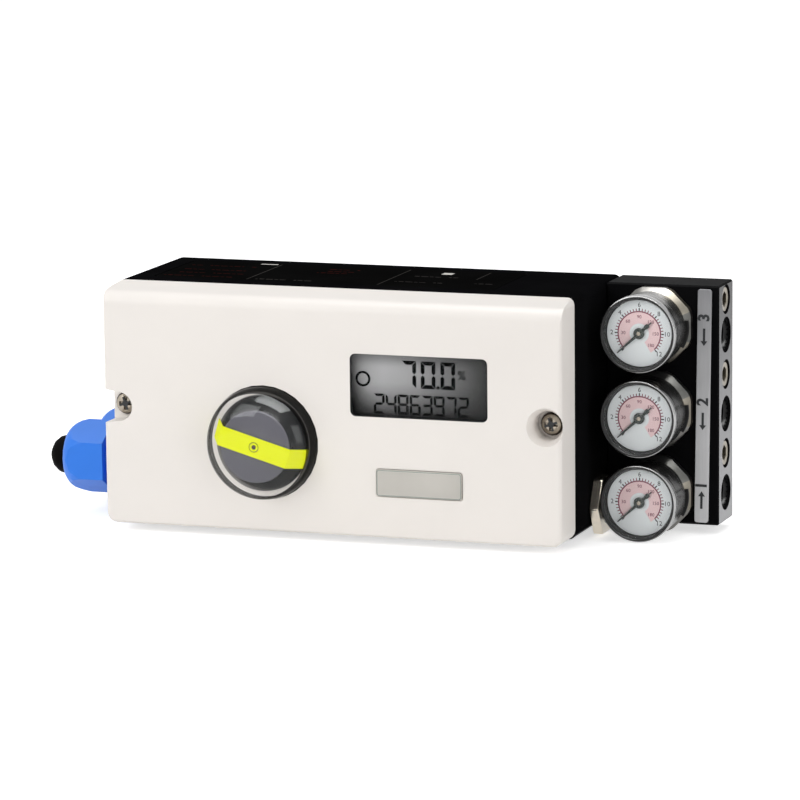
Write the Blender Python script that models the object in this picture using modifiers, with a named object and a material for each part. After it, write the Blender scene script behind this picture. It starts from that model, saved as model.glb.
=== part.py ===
"""Electro-pneumatic valve positioner with a block of three pressure gauges.

The frame's origin is where the feedback shaft passes the flat back of the
housing. X runs to the right along the front, Y runs backwards and Z up.
Sizes are in millimetres. "Forward" is the distance in front of that back.
"""

import math

import bmesh
import bpy
from mathutils import Matrix, Vector

MM = 0.001

# Clearances
SEAT = 0.3
RUN = 0.3

# Housing
HOUSING_WIDTH = 174.9
HOUSING_HEIGHT = 88.0
HOUSING_DEPTH = 58.2
HOUSING_WALL = 4.0
BACK_WALL = 5.0
HOUSING_CORNER = 2.5
SHAFT_FROM_LEFT = 62.0
SHAFT_FROM_BOTTOM = 32.8

# Gasket in the rim of the housing
GROOVE_FROM_EDGE = 0.9
GROOVE_WIDTH = 1.6
GROOVE_DEPTH = 1.5
GASKET_SLACK = 0.2

# Tapped holes that a bracket is bolted to
REAR_HOLE_RADIUS = 3.4
REAR_HOLE_DEPTH = 10.0
REAR_HOLES_APART_X = 80.0
REAR_HOLES_APART_Z = 40.0
REAR_BOSS_RADIUS = 6.5
UNDER_HOLE_RADIUS = 2.5
UNDER_HOLE_DEPTH = 8.0
UNDER_HOLES_APART_X = 50.0
UNDER_HOLES_APART_Y = 26.0
UNDER_HOLES_FROM_BACK = 12.0
UNDER_BOSS_RADIUS = 4.6
BLIND_END = 2.0

# Front cover
COVER_DEPTH = 16.3
COVER_WALL = 2.5
COVER_LOWER_CORNER = 3.8
COVER_UPPER_CORNER = 2.6
COVER_EDGE_ROUND = 1.4
BROW_DROP = 1.8
BROW_ROUND = 5.5
BROW_LEAN = 0.35
BROW_LEAN_HEIGHT = 9.0

# Cover screws and the scoops that they sit in
LEFT_SCREW_INSET = 5.5
RIGHT_SCREW_INSET = 6.1
COVER_SCREW_HEIGHT = 43.4
SCOOP_RADIUS = 5.4
SCOOP_DEPTH = 9.8
SCOOP_MOUTH = 1.2
FLARE_WIDTH = 1.6
FLARE_FOOT = 0.4
FLARE_DEPTH = 6.0
SCOOP_BOSS_WALL = 2.2
COVER_BOSS_SHORT = 0.5
SCREW_HEAD_RADIUS = 4.3
SCREW_HEAD_HEIGHT = 2.7
SCREW_RADIUS = 2.0
SCREW_REACH = 13.0
SCREW_BOSS_RADIUS = 4.0
SCREW_BOSS_DEPTH = 20.0
CROSS_SLOT_LENGTH = 5.0
CROSS_SLOT_WIDTH = 1.2
CROSS_SLOT_DEPTH = 1.5

# Display window in the cover, and the display behind it
DISPLAY_FROM_SHAFT = 59.45
DISPLAY_DOWN = 32.4
DISPLAY_WINDOW_WIDTH = 51.9
DISPLAY_WINDOW_HEIGHT = 22.8
DISPLAY_WINDOW_CORNER = 2.0
WINDOW_FLANGE = 2.0
WINDOW_FLANGE_THICK = 1.0
WINDOW_SUNK = 0.3
DISPLAY_FRAME = 2.2
DISPLAY_GLASS_SUNK = 0.6
DISPLAY_BEHIND_WINDOW = 0.5

# Badge
BADGE_WIDTH = 32.9
BADGE_HEIGHT = 10.4
BADGE_CORNER = 1.2
BADGE_UP = 20.4
BADGE_THICK = 1.0
BADGE_SUNK = 0.7

# Position indicator: dome, cap, stripe and their screw
DOME_RADIUS = 20.75
DOME_FLANGE = 2.2
DOME_FLANGE_THICK = 1.2
DOME_WALL = 1.0
DOME_RISE = 13.2
DOME_SIDE_POWER = 3.5
DOME_CROWN_POWER = 2.3
CAP_TOP_RADIUS = 13.1
CAP_BASE_RADIUS = 17.6
CAP_TOP = 9.5
CAP_BASE = 1.5
CAP_WALL = 1.5
CAP_HUB_RADIUS = 4.0
CAP_HUB_BACK = 6.0
STRIPE_WIDTH = 7.3
STRIPE_THICK = 0.4
CAP_SCREW_HEAD_RADIUS = 1.6
CAP_SCREW_RADIUS = 0.85
CAP_SCREW_REACH = 4.5
INDICATOR_TURN = -16.0

# Feedback shaft, its bush and the gear train to the position sensor
SHAFT_RADIUS = 3.0
SHAFT_BEHIND = 15.0
SHAFT_FLAT = 0.6
SHAFT_FLAT_LENGTH = 12.0
SHAFT_STEP_FORWARD = 32.0
SHAFT_FRONT_RADIUS = 2.5
BUSH_RADIUS = 5.0
BUSH_LENGTH = 14.5
BUSH_FLANGE_RADIUS = 7.0
BUSH_FLANGE_THICK = 1.5
SHAFT_BOSS_RADIUS = 8.0
TOOTH_MODULE = 1.0
DRIVE_TEETH = 36
SENSOR_TEETH = 18
MESH_SLACK = 0.35
TOOTH_SHARE = 0.40
GEAR_THICK = 5.0
GEAR_FORWARD = 20.0
GEAR_HUB_RADIUS = 7.0
GEAR_HUB_THICK = 4.0
SENSOR_RADIUS = 12.0
SENSOR_THICK = 10.0
SENSOR_ARBOR_RADIUS = 2.5
SENSOR_ARBOR_BACK = 9.0

# Boards and the inner panel
POST_RADIUS = 3.2
POST_INSET_X = 13.6
POST_INSET_Z = 9.0
PANEL_THICK = 2.0
PANEL_BELOW_RIM = 1.2
PANEL_EDGE_GAP = 0.7
BOARD_THICK = 1.6
BOARD_BEHIND_PANEL = 8.4
BOARD_INSET = 7.0
PANEL_SHAFT_HOLE = 3.6
DISPLAY_TO_RIM = 2.0

# Push-buttons on the panel
BUTTON_COUNT = 4
BUTTON_RADIUS = 3.2
BUTTON_FLANGE = 1.2
BUTTON_FLANGE_THICK = 1.0
BUTTON_PITCH = 12.0
BUTTON_BELOW_DISPLAY = 29.6
BUTTON_PROUD = 3.0
BUTTON_TRAVEL = 1.0

# Terminal block
TERMINAL_POLES = 8
TERMINAL_PITCH = 5.0
TERMINAL_DEPTH = 9.0
TERMINAL_HEIGHT = 13.0
TERMINAL_DOWN = 18.0
TERMINAL_FROM_SHAFT = -30.0
TERMINAL_SCREW_RADIUS = 1.6
TERMINAL_SCREW_DEPTH = 2.5
TERMINAL_WIRE_SIDE = 3.2
TERMINAL_WIRE_DEPTH = 5.0

# Air side: relay block and the current-to-pressure module on it
RELAY_WIDTH = 16.0
RELAY_SPIGOT_RADIUS = 4.6
MODULE_BEHIND_PANEL = 8.4
RELAY_MARGIN = 5.0
RELAY_PORT_DEPTH = 12.0
MODULE_RADIUS = 8.5
MODULE_DEPTH = 11.0
MODULE_UP = 30.0
MODULE_CAP_RADIUS = 5.0
MODULE_CAP_DEPTH = 3.0

# Gauge block
BLOCK_WIDTH = 42.2
BLOCK_DEPTH = 19.4
BLOCK_CHAMFER = 0.6
PORT_RADIUS = 6.6
PORT_DEPTH = 14.0
PORT_MOUTH = 0.8
FIRST_PORT_UP = 10.8
LAST_PORT_DOWN = 19.0
PORT_FORWARD = 9.7
PASSAGE_RADIUS = 3.0
TOP_BOLT_DOWN = 6.0
BOLT_RADIUS = 2.9
BOLT_HEAD_RADIUS = 4.9
BOLT_HEAD_HEIGHT = 6.0
BOLT_HEAD_SUNK = 1.2
BOLT_SOCKET = 5.0
BOLT_SOCKET_DEPTH = 3.0
BOLT_INTO_HOUSING = 8.0
BOLT_BOSS_RADIUS = 5.2

# Pressure gauges
GAUGE_FROM_BLOCK_LEFT = 18.6
GAUGES_BELOW_MIDDLE = 1.7
GAUGE_PITCH = 30.9
GAUGE_RADIUS = 14.05
GAUGE_CAN_RADIUS = 13.4
GAUGE_REACH = 21.6
GAUGE_STEM_RADIUS = 4.5
GAUGE_STEM_LENGTH = 9.0
COLLAR_ACROSS = 25.4
COLLAR_THICK = 6.7
BEZEL_LENGTH = 4.8
BEZEL_PROUD = 3.2
DIAL_RADIUS = 11.2
DIAL_THICK = 0.5
GLASS_RADIUS = 12.65
GLASS_THICK = 0.8
GLASS_OVER_DIAL = 1.7
NEEDLE_LENGTH = 10.4
NEEDLE_TAIL = 6.0
NEEDLE_HALF_WIDTH = 0.55
NEEDLE_TAIL_HALF = 0.9
NEEDLE_THICK = 0.4
NEEDLE_HUB_RADIUS = 1.65
NEEDLE_HUB_THICK = 0.9
NEEDLE_OVER_DIAL = 0.4
ARBOR_RADIUS = 0.6
ARBOR_LENGTH = 3.6
NEEDLE_AT_REST = 222.0

# Label strip beside the gauges
STRIP_WIDTH = 5.8
STRIP_LENGTH = 86.0
STRIP_THICK = 0.7
STRIP_FROM_RIGHT = 2.8
STRIP_CORNER = 1.6

# Blanking plug low on the right wall
PLUG_ACROSS = 20.0
PLUG_HEAD = 3.7
PLUG_FORWARD = 31.6
PLUG_UP = 8.2
PLUG_THREAD_RADIUS = 5.6
PLUG_DISH_RADIUS = 6.5
PLUG_DISH_DEPTH = 0.8

# Cable glands in the left wall
GLAND_BEHIND_RIM = 14.2
GLAND_SPACING = 29.0
FRONT_NUT_STANDS_OFF = 9.1
REAR_NUT_STANDS_OFF = 7.6
GLAND_UP = 18.6
GLAND_THREAD_RADIUS = 9.7
GLAND_THREAD_LENGTH = 8.0
GLAND_BORE_RADIUS = 7.6
GLAND_NECK_RADIUS = 9.0
GLAND_NECK_INTO_NUT = 10.0
GLAND_ACROSS = 24.0
GLAND_HEX_THICK = 6.0
GLAND_NUT_LENGTH = 17.1
GLAND_NUT_DOME = 10.5
GLAND_NUT_MOUTH = 8.7
GLAND_SEAL_RADIUS = 7.3
GLAND_SEAL_PROUD = 7.7
GLAND_SEAL_DOME = 6.0

# Film label let into the top
FILM_WIDTH = 132.0
FILM_BEHIND_RIM = 9.2
FILM_THICK = 0.5
FILM_FROM_LEFT = 9.6
FILM_FROM_BACK = 7.0
FILM_CORNER = 2.0

# Places that follow from the sizes above
LEFT = -SHAFT_FROM_LEFT
RIGHT = LEFT + HOUSING_WIDTH
BOTTOM = -SHAFT_FROM_BOTTOM
TOP = BOTTOM + HOUSING_HEIGHT
INNER_LEFT = LEFT + HOUSING_WALL
INNER_RIGHT = RIGHT - HOUSING_WALL
INNER_BOTTOM = BOTTOM + HOUSING_WALL
INNER_TOP = TOP - HOUSING_WALL
COVER_BACK = HOUSING_DEPTH + SEAT
COVER_FACE = COVER_BACK + COVER_DEPTH
COVER_INSIDE = COVER_FACE - COVER_WALL
PANEL_FACE = HOUSING_DEPTH - PANEL_BELOW_RIM
PANEL_BACK = PANEL_FACE - PANEL_THICK
BOARD_BACK = PANEL_BACK - BOARD_BEHIND_PANEL - BOARD_THICK
BLOCK_LEFT = RIGHT + SEAT
BLOCK_RIGHT = BLOCK_LEFT + BLOCK_WIDTH
GAUGE_X = BLOCK_LEFT + GAUGE_FROM_BLOCK_LEFT
PORT_PITCH = (HOUSING_HEIGHT - FIRST_PORT_UP - LAST_PORT_DOWN) / 2
PORT_UPS = [FIRST_PORT_UP + PORT_PITCH * i for i in range(3)]
GAUGE_UPS = [HOUSING_HEIGHT / 2 - GAUGES_BELOW_MIDDLE + GAUGE_PITCH * i for i in (-1, 0, 1)]
BOLT_UPS = [up + PORT_PITCH / 2 for up in PORT_UPS[:2]] + [HOUSING_HEIGHT - TOP_BOLT_DOWN]
COVER_SCREW_XS = {"left": LEFT + LEFT_SCREW_INSET, "right": RIGHT - RIGHT_SCREW_INSET}
COVER_SCREW_Z = BOTTOM + COVER_SCREW_HEIGHT
SENSOR_X = TOOTH_MODULE * (DRIVE_TEETH + SENSOR_TEETH) / 2 + MESH_SLACK
WINDOW_BACK = COVER_INSIDE - SEAT - WINDOW_FLANGE_THICK
BUTTON_Z = TOP - DISPLAY_DOWN - BUTTON_BELOW_DISPLAY
FRONT_GLAND = HOUSING_DEPTH - GLAND_BEHIND_RIM
REAR_GLAND = FRONT_GLAND - GLAND_SPACING
BOLT_END = RIGHT - BOLT_INTO_HOUSING
BOSS_END = BOLT_END - BLIND_END

# Which way a piece's own Z axis points
UPWARD = Matrix.Identity(3)
FORWARD = Matrix(((1, 0, 0), (0, 0, -1), (0, 1, 0)))
RIGHTWARD = Matrix(((0, 0, 1), (1, 0, 0), (0, 1, 0)))
LEFTWARD = Matrix(((0, 0, -1), (-1, 0, 0), (0, 1, 0)))
DOWNWARD = Matrix(((1, 0, 0), (0, -1, 0), (0, 0, -1)))


def start_scene():
    for old in list(bpy.data.objects):
        bpy.data.objects.remove(old, do_unlink=True)
    for name in ("valve_positioner", "cutters"):
        bpy.context.scene.collection.children.link(bpy.data.collections.new(name))


def finish(name, colour, roughness, metallic=0.0, alpha=1.0):
    """A Principled material of this colour, as red, green and blue from 0 to 1."""
    material = bpy.data.materials.get(name) or bpy.data.materials.new(name)
    material.use_nodes = True
    shader = material.node_tree.nodes["Principled BSDF"]
    shader.inputs["Base Color"].default_value = (*colour, 1.0)
    shader.inputs["Roughness"].default_value = roughness
    shader.inputs["Metallic"].default_value = metallic
    shader.inputs["Alpha"].default_value = alpha
    return material


def spot(x, forward, z):
    """A point in metres, from its place along X, forward of the back, and along Z."""
    return Vector((x, -forward, z)) * MM


def stand(name, mesh, frame=UPWARD, at=Vector((0, 0, 0))):
    """An object that holds this mesh, turned to this frame and moved to this point."""
    obj = bpy.data.objects.new(name, mesh)
    obj.matrix_world = Matrix.Translation(at) @ frame.to_4x4()
    bpy.data.collections["valve_positioner"].objects.link(obj)
    return obj


def from_bmesh(name, shape, frame=UPWARD, at=Vector((0, 0, 0))):
    mesh = bpy.data.meshes.new(name)
    shape.to_mesh(mesh)
    shape.free()
    return stand(name, mesh, frame, at)


def smooth(obj, angle=35):
    obj.data.shade_smooth()
    obj.data.set_sharp_from_angle(angle=math.radians(angle))
    return obj


def block(name, x, forward, z):
    """A box between two values along each of X, forward and Z."""
    shape = bmesh.new()
    bmesh.ops.create_cube(shape, size=MM)
    size = Vector((x[1] - x[0], forward[1] - forward[0], z[1] - z[0]))
    bmesh.ops.scale(shape, vec=size, verts=shape.verts)
    bmesh.ops.translate(shape, vec=spot(sum(x) / 2, sum(forward) / 2, sum(z) / 2), verts=shape.verts)
    return from_bmesh(name, shape)


def rod(name, radius, length, frame, at, sides=20):
    """A cylinder that runs from this point along its frame's Z axis."""
    shape = bmesh.new()
    bmesh.ops.create_cone(
        shape, cap_ends=True, segments=sides, radius1=radius * MM, radius2=radius * MM, depth=length * MM
    )
    bmesh.ops.translate(shape, vec=(0, 0, length / 2 * MM), verts=shape.verts)
    return smooth(from_bmesh(name, shape, frame, at))


def turned(name, profile, frame, at, sides=24, ring=False):
    """A profile of (radius, height) points turned about its frame's Z axis."""
    mesh = bpy.data.meshes.new(name)
    points = [(radius * MM, 0, height * MM) for radius, height in profile]
    edges = [(i, i + 1) for i in range(len(points) - 1)]
    if ring:
        edges.append((len(points) - 1, 0))
    mesh.from_pydata(points, edges, [])
    obj = stand(name, mesh, frame, at)
    screw = obj.modifiers.new("turn", "SCREW")
    screw.steps = screw.render_steps = sides
    screw.use_merge_vertices = True
    screw.merge_threshold = 0.00001
    screw.use_smooth_shade = True
    return obj


def arc(x, y, radius, start, end, steps):
    """Points along a circle, from one angle in degrees to another."""
    turns = [math.radians(start + (end - start) * i / steps) for i in range(steps + 1)]
    return [(x + radius * math.cos(t), y + radius * math.sin(t)) for t in turns]


def circle(x, y, radius, sides=24):
    return arc(x, y, radius, 0, 360, sides)[:-1]


def polygon(x, y, across_flats, sides, turn=0.0):
    """A regular polygon by its width across flats, with a corner at the angle turn."""
    radius = across_flats / 2 / math.cos(math.pi / sides)
    return arc(x, y, radius, turn, turn + 360, sides)[:-1]


def rounded(x0, y0, x1, y1, radius, steps=4):
    """A rectangle with round corners."""
    return (
        arc(x1 - radius, y0 + radius, radius, -90, 0, steps)
        + arc(x1 - radius, y1 - radius, radius, 0, 90, steps)
        + arc(x0 + radius, y1 - radius, radius, 90, 180, steps)
        + arc(x0 + radius, y0 + radius, radius, 180, 270, steps)
    )


def plate(name, loops, start, end, frame=FORWARD, at=Vector((0, 0, 0))):
    """Flat outlines, the first the edge and the rest holes, drawn out from start to end."""
    curve = bpy.data.curves.new(name, "CURVE")
    curve.dimensions = "2D"
    curve.fill_mode = "BOTH"
    curve.extrude = (end - start) / 2 * MM
    for loop in loops:
        spline = curve.splines.new("POLY")
        spline.points.add(len(loop) - 1)
        for point, (x, y) in zip(spline.points, loop):
            point.co = (x * MM, y * MM, 0, 1)
        spline.use_cyclic_u = True
    drawn = bpy.data.objects.new(name, curve)
    bpy.context.scene.collection.objects.link(drawn)
    graph = bpy.context.evaluated_depsgraph_get()
    mesh = bpy.data.meshes.new_from_object(drawn.evaluated_get(graph))
    bpy.data.objects.remove(drawn)
    shape = bmesh.new()
    shape.from_mesh(mesh)
    bmesh.ops.remove_doubles(shape, verts=shape.verts, dist=0.000001)
    bmesh.ops.translate(shape, vec=(0, 0, (start + end) / 2 * MM), verts=shape.verts)
    bmesh.ops.recalc_face_normals(shape, faces=shape.faces)
    bpy.data.meshes.remove(mesh)
    return from_bmesh(name, shape, frame, at)


def use_tool(target, tool, operation):
    """Adds a Boolean of the tool to the target and puts the tool away with the cutters."""
    for home in list(tool.users_collection):
        home.objects.unlink(tool)
    bpy.data.collections["cutters"].objects.link(tool)
    tool.name = f"tool_{tool.name}"
    tool.hide_render = True
    tool.display_type = "WIRE"
    boolean = target.modifiers.new(operation.lower(), "BOOLEAN")
    boolean.operation = operation
    boolean.solver = "EXACT"
    boolean.object = tool


def cut(target, *tools):
    for tool in tools:
        use_tool(target, tool, "DIFFERENCE")


def join(target, *tools):
    for tool in tools:
        use_tool(target, tool, "UNION")


def paint(material, *pieces):
    for piece in pieces:
        piece.data.materials.clear()
        piece.data.materials.append(material)


def pivot(name, at, *pieces):
    """An empty on a joint's axis that carries these pieces."""
    empty = bpy.data.objects.new(name, None)
    empty.location = at
    bpy.data.collections["valve_positioner"].objects.link(empty)
    bpy.context.view_layer.update()
    for piece in pieces:
        piece.parent = empty
        piece.matrix_parent_inverse = empty.matrix_world.inverted()
    return empty


def round_edges(obj, wanted, radius, segments):
    """Rounds the edges of a mesh that the test wanted picks by their two ends, in millimetres."""
    shape = bmesh.new()
    shape.from_mesh(obj.data)
    edges = [e for e in shape.edges if wanted(e.verts[0].co / MM, e.verts[1].co / MM)]
    bmesh.ops.bevel(
        shape, geom=edges, offset=radius * MM, affect="EDGES", segments=segments, profile=0.5, material=-1
    )
    shape.to_mesh(obj.data)
    shape.free()


def make_housing():
    """The cast housing: a deep tub that opens forward, with its bosses and bores."""
    outline = rounded(LEFT, BOTTOM, RIGHT, TOP, HOUSING_CORNER)
    housing = plate("housing", [outline], 0, HOUSING_DEPTH)
    hollow = rounded(INNER_LEFT, INNER_BOTTOM, INNER_RIGHT, INNER_TOP, HOUSING_CORNER)
    cut(housing, plate("hollow", [hollow], BACK_WALL, HOUSING_DEPTH + BLIND_END))
    add_bosses(housing)
    cut_rim(housing)
    cut_bores(housing)
    paint(finish("black_paint", (0.02, 0.02, 0.022), 0.45), housing)
    return housing


def post_spots():
    return [
        (x, z)
        for x in (INNER_LEFT + POST_INSET_X, BOSS_END - RELAY_WIDTH - POST_INSET_X)
        for z in (INNER_BOTTOM + POST_INSET_Z, INNER_TOP - POST_INSET_Z)
    ]


def rear_hole_spots():
    x, z = REAR_HOLES_APART_X / 2, REAR_HOLES_APART_Z / 2
    return [(-x, -z), (-x, z), (x, -z), (x, z)]


def under_hole_spots():
    half = UNDER_HOLES_APART_X / 2
    near, far = UNDER_HOLES_FROM_BACK, UNDER_HOLES_FROM_BACK + UNDER_HOLES_APART_Y
    return [(-half, near), (-half, far), (half, near), (half, far)]


def add_bosses(housing):
    root = BACK_WALL / 2
    length = PANEL_BACK - SEAT - root
    for i, (x, z) in enumerate(post_spots()):
        join(housing, rod(f"post_{i}", POST_RADIUS, length, FORWARD, spot(x, root, z), 12))
    for i, (x, z) in enumerate(rear_hole_spots()):
        length = REAR_HOLE_DEPTH + BLIND_END - root
        join(housing, rod(f"rear_boss_{i}", REAR_BOSS_RADIUS, length, FORWARD, spot(x, root, z), 16))
    for i, (x, forward) in enumerate(under_hole_spots()):
        start = BOTTOM + HOUSING_WALL / 2
        length = UNDER_HOLE_DEPTH + BLIND_END - HOUSING_WALL / 2
        join(housing, rod(f"under_boss_{i}", UNDER_BOSS_RADIUS, length, UPWARD, spot(x, forward, start), 16))
    boss_length = BUSH_LENGTH + SEAT - root
    join(housing, rod("shaft_boss", SHAFT_BOSS_RADIUS, boss_length, FORWARD, spot(0, root, 0)))
    for side, x in COVER_SCREW_XS.items():
        at = spot(x, HOUSING_DEPTH - SCREW_BOSS_DEPTH, COVER_SCREW_Z)
        length = SCREW_BOSS_DEPTH - SEAT
        join(housing, rod(f"screw_boss_{side}", SCREW_BOSS_RADIUS, length, FORWARD, at, 16))
    for i, up in enumerate(BOLT_UPS):
        length = RIGHT - HOUSING_WALL / 2 - BOSS_END
        at = spot(BOSS_END, PORT_FORWARD, BOTTOM + up)
        join(housing, rod(f"bolt_boss_{i}", BOLT_BOSS_RADIUS, length, RIGHTWARD, at, 16))


def groove_loops(inset, width):
    """Outer and inner outline of a strip that runs round the rim."""
    outer = rounded(LEFT + inset, BOTTOM + inset, RIGHT - inset, TOP - inset, HOUSING_CORNER)
    far = inset + width
    inner = rounded(LEFT + far, BOTTOM + far, RIGHT - far, TOP - far, HOUSING_CORNER - GROOVE_FROM_EDGE)
    return [outer, inner]


def cut_rim(housing):
    floor = HOUSING_DEPTH - GROOVE_DEPTH
    loops = groove_loops(GROOVE_FROM_EDGE, GROOVE_WIDTH)
    cut(housing, plate("gasket_groove", loops, floor, HOUSING_DEPTH + BLIND_END))
    for side, x in COVER_SCREW_XS.items():
        at = spot(x, HOUSING_DEPTH - SCREW_REACH - BLIND_END, COVER_SCREW_Z)
        length = SCREW_REACH + 2 * BLIND_END
        cut(housing, rod(f"screw_hole_{side}", SCREW_RADIUS + RUN, length, FORWARD, at, 12))


def cut_bores(housing):
    length = BUSH_LENGTH + 2 * BLIND_END
    cut(housing, rod("bush_bore", BUSH_RADIUS + SEAT, length, FORWARD, spot(0, -BLIND_END, 0)))
    for i, (x, z) in enumerate(rear_hole_spots()):
        length = REAR_HOLE_DEPTH + BLIND_END
        cut(housing, rod(f"rear_hole_{i}", REAR_HOLE_RADIUS, length, FORWARD, spot(x, -BLIND_END, z), 16))
    for i, (x, forward) in enumerate(under_hole_spots()):
        start = BOTTOM - BLIND_END
        length = UNDER_HOLE_DEPTH + BLIND_END
        cut(housing, rod(f"under_hole_{i}", UNDER_HOLE_RADIUS, length, UPWARD, spot(x, forward, start), 12))
    through = HOUSING_WALL + 2 * BLIND_END
    entry = GLAND_THREAD_LENGTH + 2 * BLIND_END
    for i, forward in enumerate((FRONT_GLAND, REAR_GLAND)):
        at = spot(LEFT - BLIND_END, forward, BOTTOM + GLAND_UP)
        cut(housing, rod(f"cable_entry_{i}", GLAND_THREAD_RADIUS + SEAT, entry, RIGHTWARD, at, 24))
    for i, up in enumerate(PORT_UPS):
        at = spot(INNER_RIGHT - BLIND_END, PORT_FORWARD, BOTTOM + up)
        cut(housing, rod(f"air_hole_{i}", PASSAGE_RADIUS, through, RIGHTWARD, at, 12))
    for i, up in enumerate(BOLT_UPS):
        at = spot(BOLT_END, PORT_FORWARD, BOTTOM + up)
        length = BOLT_INTO_HOUSING + BLIND_END
        cut(housing, rod(f"bolt_hole_{i}", BOLT_RADIUS + RUN, length, RIGHTWARD, at, 12))
    at = spot(INNER_RIGHT - BLIND_END, PLUG_FORWARD, BOTTOM + PLUG_UP)
    cut(housing, rod("plug_hole", PLUG_THREAD_RADIUS + SEAT, through, RIGHTWARD, at, 16))
    film = film_outline(0)
    depth = FILM_THICK + SEAT
    cut(housing, plate("film_recess", [film], TOP - depth, TOP + BLIND_END, UPWARD))


def film_outline(inset):
    """The film label's edge, in X and Y."""
    x0 = LEFT + FILM_FROM_LEFT + inset
    y0 = FILM_BEHIND_RIM + inset - HOUSING_DEPTH
    y1 = -FILM_FROM_BACK - inset
    return rounded(x0, y0, x0 + FILM_WIDTH - 2 * inset, y1, FILM_CORNER)


def make_gasket():
    loops = groove_loops(GROOVE_FROM_EDGE + GASKET_SLACK, GROOVE_WIDTH - 2 * GASKET_SLACK)
    gasket = plate("cover_gasket", loops, HOUSING_DEPTH - GROOVE_DEPTH + SEAT, HOUSING_DEPTH)
    paint(finish("black_rubber", (0.015, 0.015, 0.015), 0.8), gasket)


def make_film():
    film = plate("film_label", [film_outline(SEAT)], TOP - FILM_THICK, TOP, UPWARD)
    paint(finish("black_film", (0.03, 0.03, 0.033), 0.3), film)


def brow_outline():
    """The region above the cover's top: a slope, a round brow and a slight lean of the face."""
    front = COVER_FACE
    fall = math.degrees(math.atan2(BROW_DROP, COVER_DEPTH - BROW_ROUND))
    centre = front - BROW_LEAN - BROW_ROUND
    brow_top = TOP - BROW_DROP
    points = [(COVER_BACK - BLIND_END, TOP + BROW_DROP * BLIND_END / COVER_DEPTH)]
    points += arc(centre, brow_top - BROW_ROUND, BROW_ROUND, 90 - fall, 3, 6)
    points += [(front + 0.05, brow_top - BROW_ROUND - BROW_LEAN_HEIGHT)]
    points += [(front + BLIND_END, brow_top - BROW_ROUND - BROW_LEAN_HEIGHT)]
    points += [(front + BLIND_END, TOP + BLIND_END), (COVER_BACK - BLIND_END, TOP + BLIND_END)]
    return points


def left_scoop(x):
    """The hollow about the left screw, open to the side with a wider mouth."""
    out = LEFT - BLIND_END
    half = SCOOP_RADIUS + SCOOP_MOUTH
    mouth = [(out, COVER_SCREW_Z - half), (out, COVER_SCREW_Z + half)]
    outline = arc(x, COVER_SCREW_Z, SCOOP_RADIUS, 90, -90, 12) + mouth
    return plate("scoop_left", [outline], COVER_FACE - SCOOP_DEPTH, COVER_FACE + BLIND_END)


def right_scoop(x):
    """The round hollow about the right screw, turned by half a side from the flare."""
    outline = arc(x, COVER_SCREW_Z, SCOOP_RADIUS, 7.5, 367.5, 24)[:-1]
    return plate("scoop_right", [outline], COVER_FACE - SCOOP_DEPTH, COVER_FACE + BLIND_END)


def right_flare(x):
    """The curved widening of the right hollow towards the cover's face."""
    foot = SCOOP_RADIUS - FLARE_FOOT
    spread = FLARE_WIDTH + FLARE_FOOT
    steps = [i / 6 for i in range(7)]
    curve = [(foot + spread * u**1.5, -FLARE_DEPTH * (1 - u)) for u in steps]
    profile = [(0, BLIND_END), (foot + spread, BLIND_END)] + curve[::-1] + [(0, -FLARE_DEPTH)]
    return turned("flare", profile, FORWARD, spot(x, COVER_FACE, COVER_SCREW_Z))


def boss_outline(x, side):
    """The boss of solid material that a scoop is cut from."""
    reach = SCOOP_RADIUS + SCOOP_BOSS_WALL
    wall = COVER_WALL / 2
    x0, x1 = (LEFT + wall, x + reach) if side == "left" else (x - reach, RIGHT - wall)
    return rounded(x0, COVER_SCREW_Z - reach, x1, COVER_SCREW_Z + reach, 1.0, 2)


def make_cover():
    """The moulded front cover: a shallow shell with a round brow, windows and two screw scoops."""
    cover = block("front_cover", (LEFT, RIGHT), (COVER_BACK, COVER_FACE), (BOTTOM, TOP))
    middle = (BOTTOM + TOP) / 2
    round_edges(cover, lambda a, b: abs(a.y - b.y) > 1 and a.z < middle, COVER_LOWER_CORNER, 4)
    round_edges(cover, lambda a, b: abs(a.y - b.y) > 1 and a.z > TOP - 1, COVER_UPPER_CORNER, 3)
    face = -COVER_FACE + 0.01
    round_edges(cover, lambda a, b: a.y < face and b.y < face, COVER_EDGE_ROUND, 3)
    cut(cover, plate("brow", [brow_outline()], -RIGHT - BLIND_END, BLIND_END - LEFT, LEFTWARD))
    roof = TOP - BROW_DROP - COVER_WALL
    x = (LEFT + COVER_WALL, RIGHT - COVER_WALL)
    cut(cover, block("shell", x, (COVER_BACK - BLIND_END, COVER_INSIDE), (BOTTOM + COVER_WALL, roof)))
    for side, x in COVER_SCREW_XS.items():
        start = COVER_BACK + COVER_BOSS_SHORT
        end = COVER_INSIDE + COVER_WALL / 2
        join(cover, plate(f"scoop_boss_{side}", [boss_outline(x, side)], start, end))
        cut(cover, left_scoop(x) if side == "left" else right_scoop(x))
        at = spot(x, COVER_BACK - BLIND_END, COVER_SCREW_Z)
        cut(cover, rod(f"cover_hole_{side}", SCREW_RADIUS + RUN, COVER_DEPTH, FORWARD, at, 16))
    cut(cover, right_flare(COVER_SCREW_XS["right"]))
    inside, outside = COVER_INSIDE - BLIND_END, COVER_FACE + BLIND_END
    cut(cover, plate("display_opening", [window_outline(0)], inside, outside))
    radius = DOME_RADIUS + SEAT
    cut(cover, rod("dome_opening", radius, outside - inside, FORWARD, spot(0, inside, 0), 30))
    cut(cover, plate("badge_recess", [badge_outline(0)], COVER_FACE - BADGE_SUNK, outside))
    paint(finish("white_cover", (0.84, 0.81, 0.78), 0.4), cover)
    return cover


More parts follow.
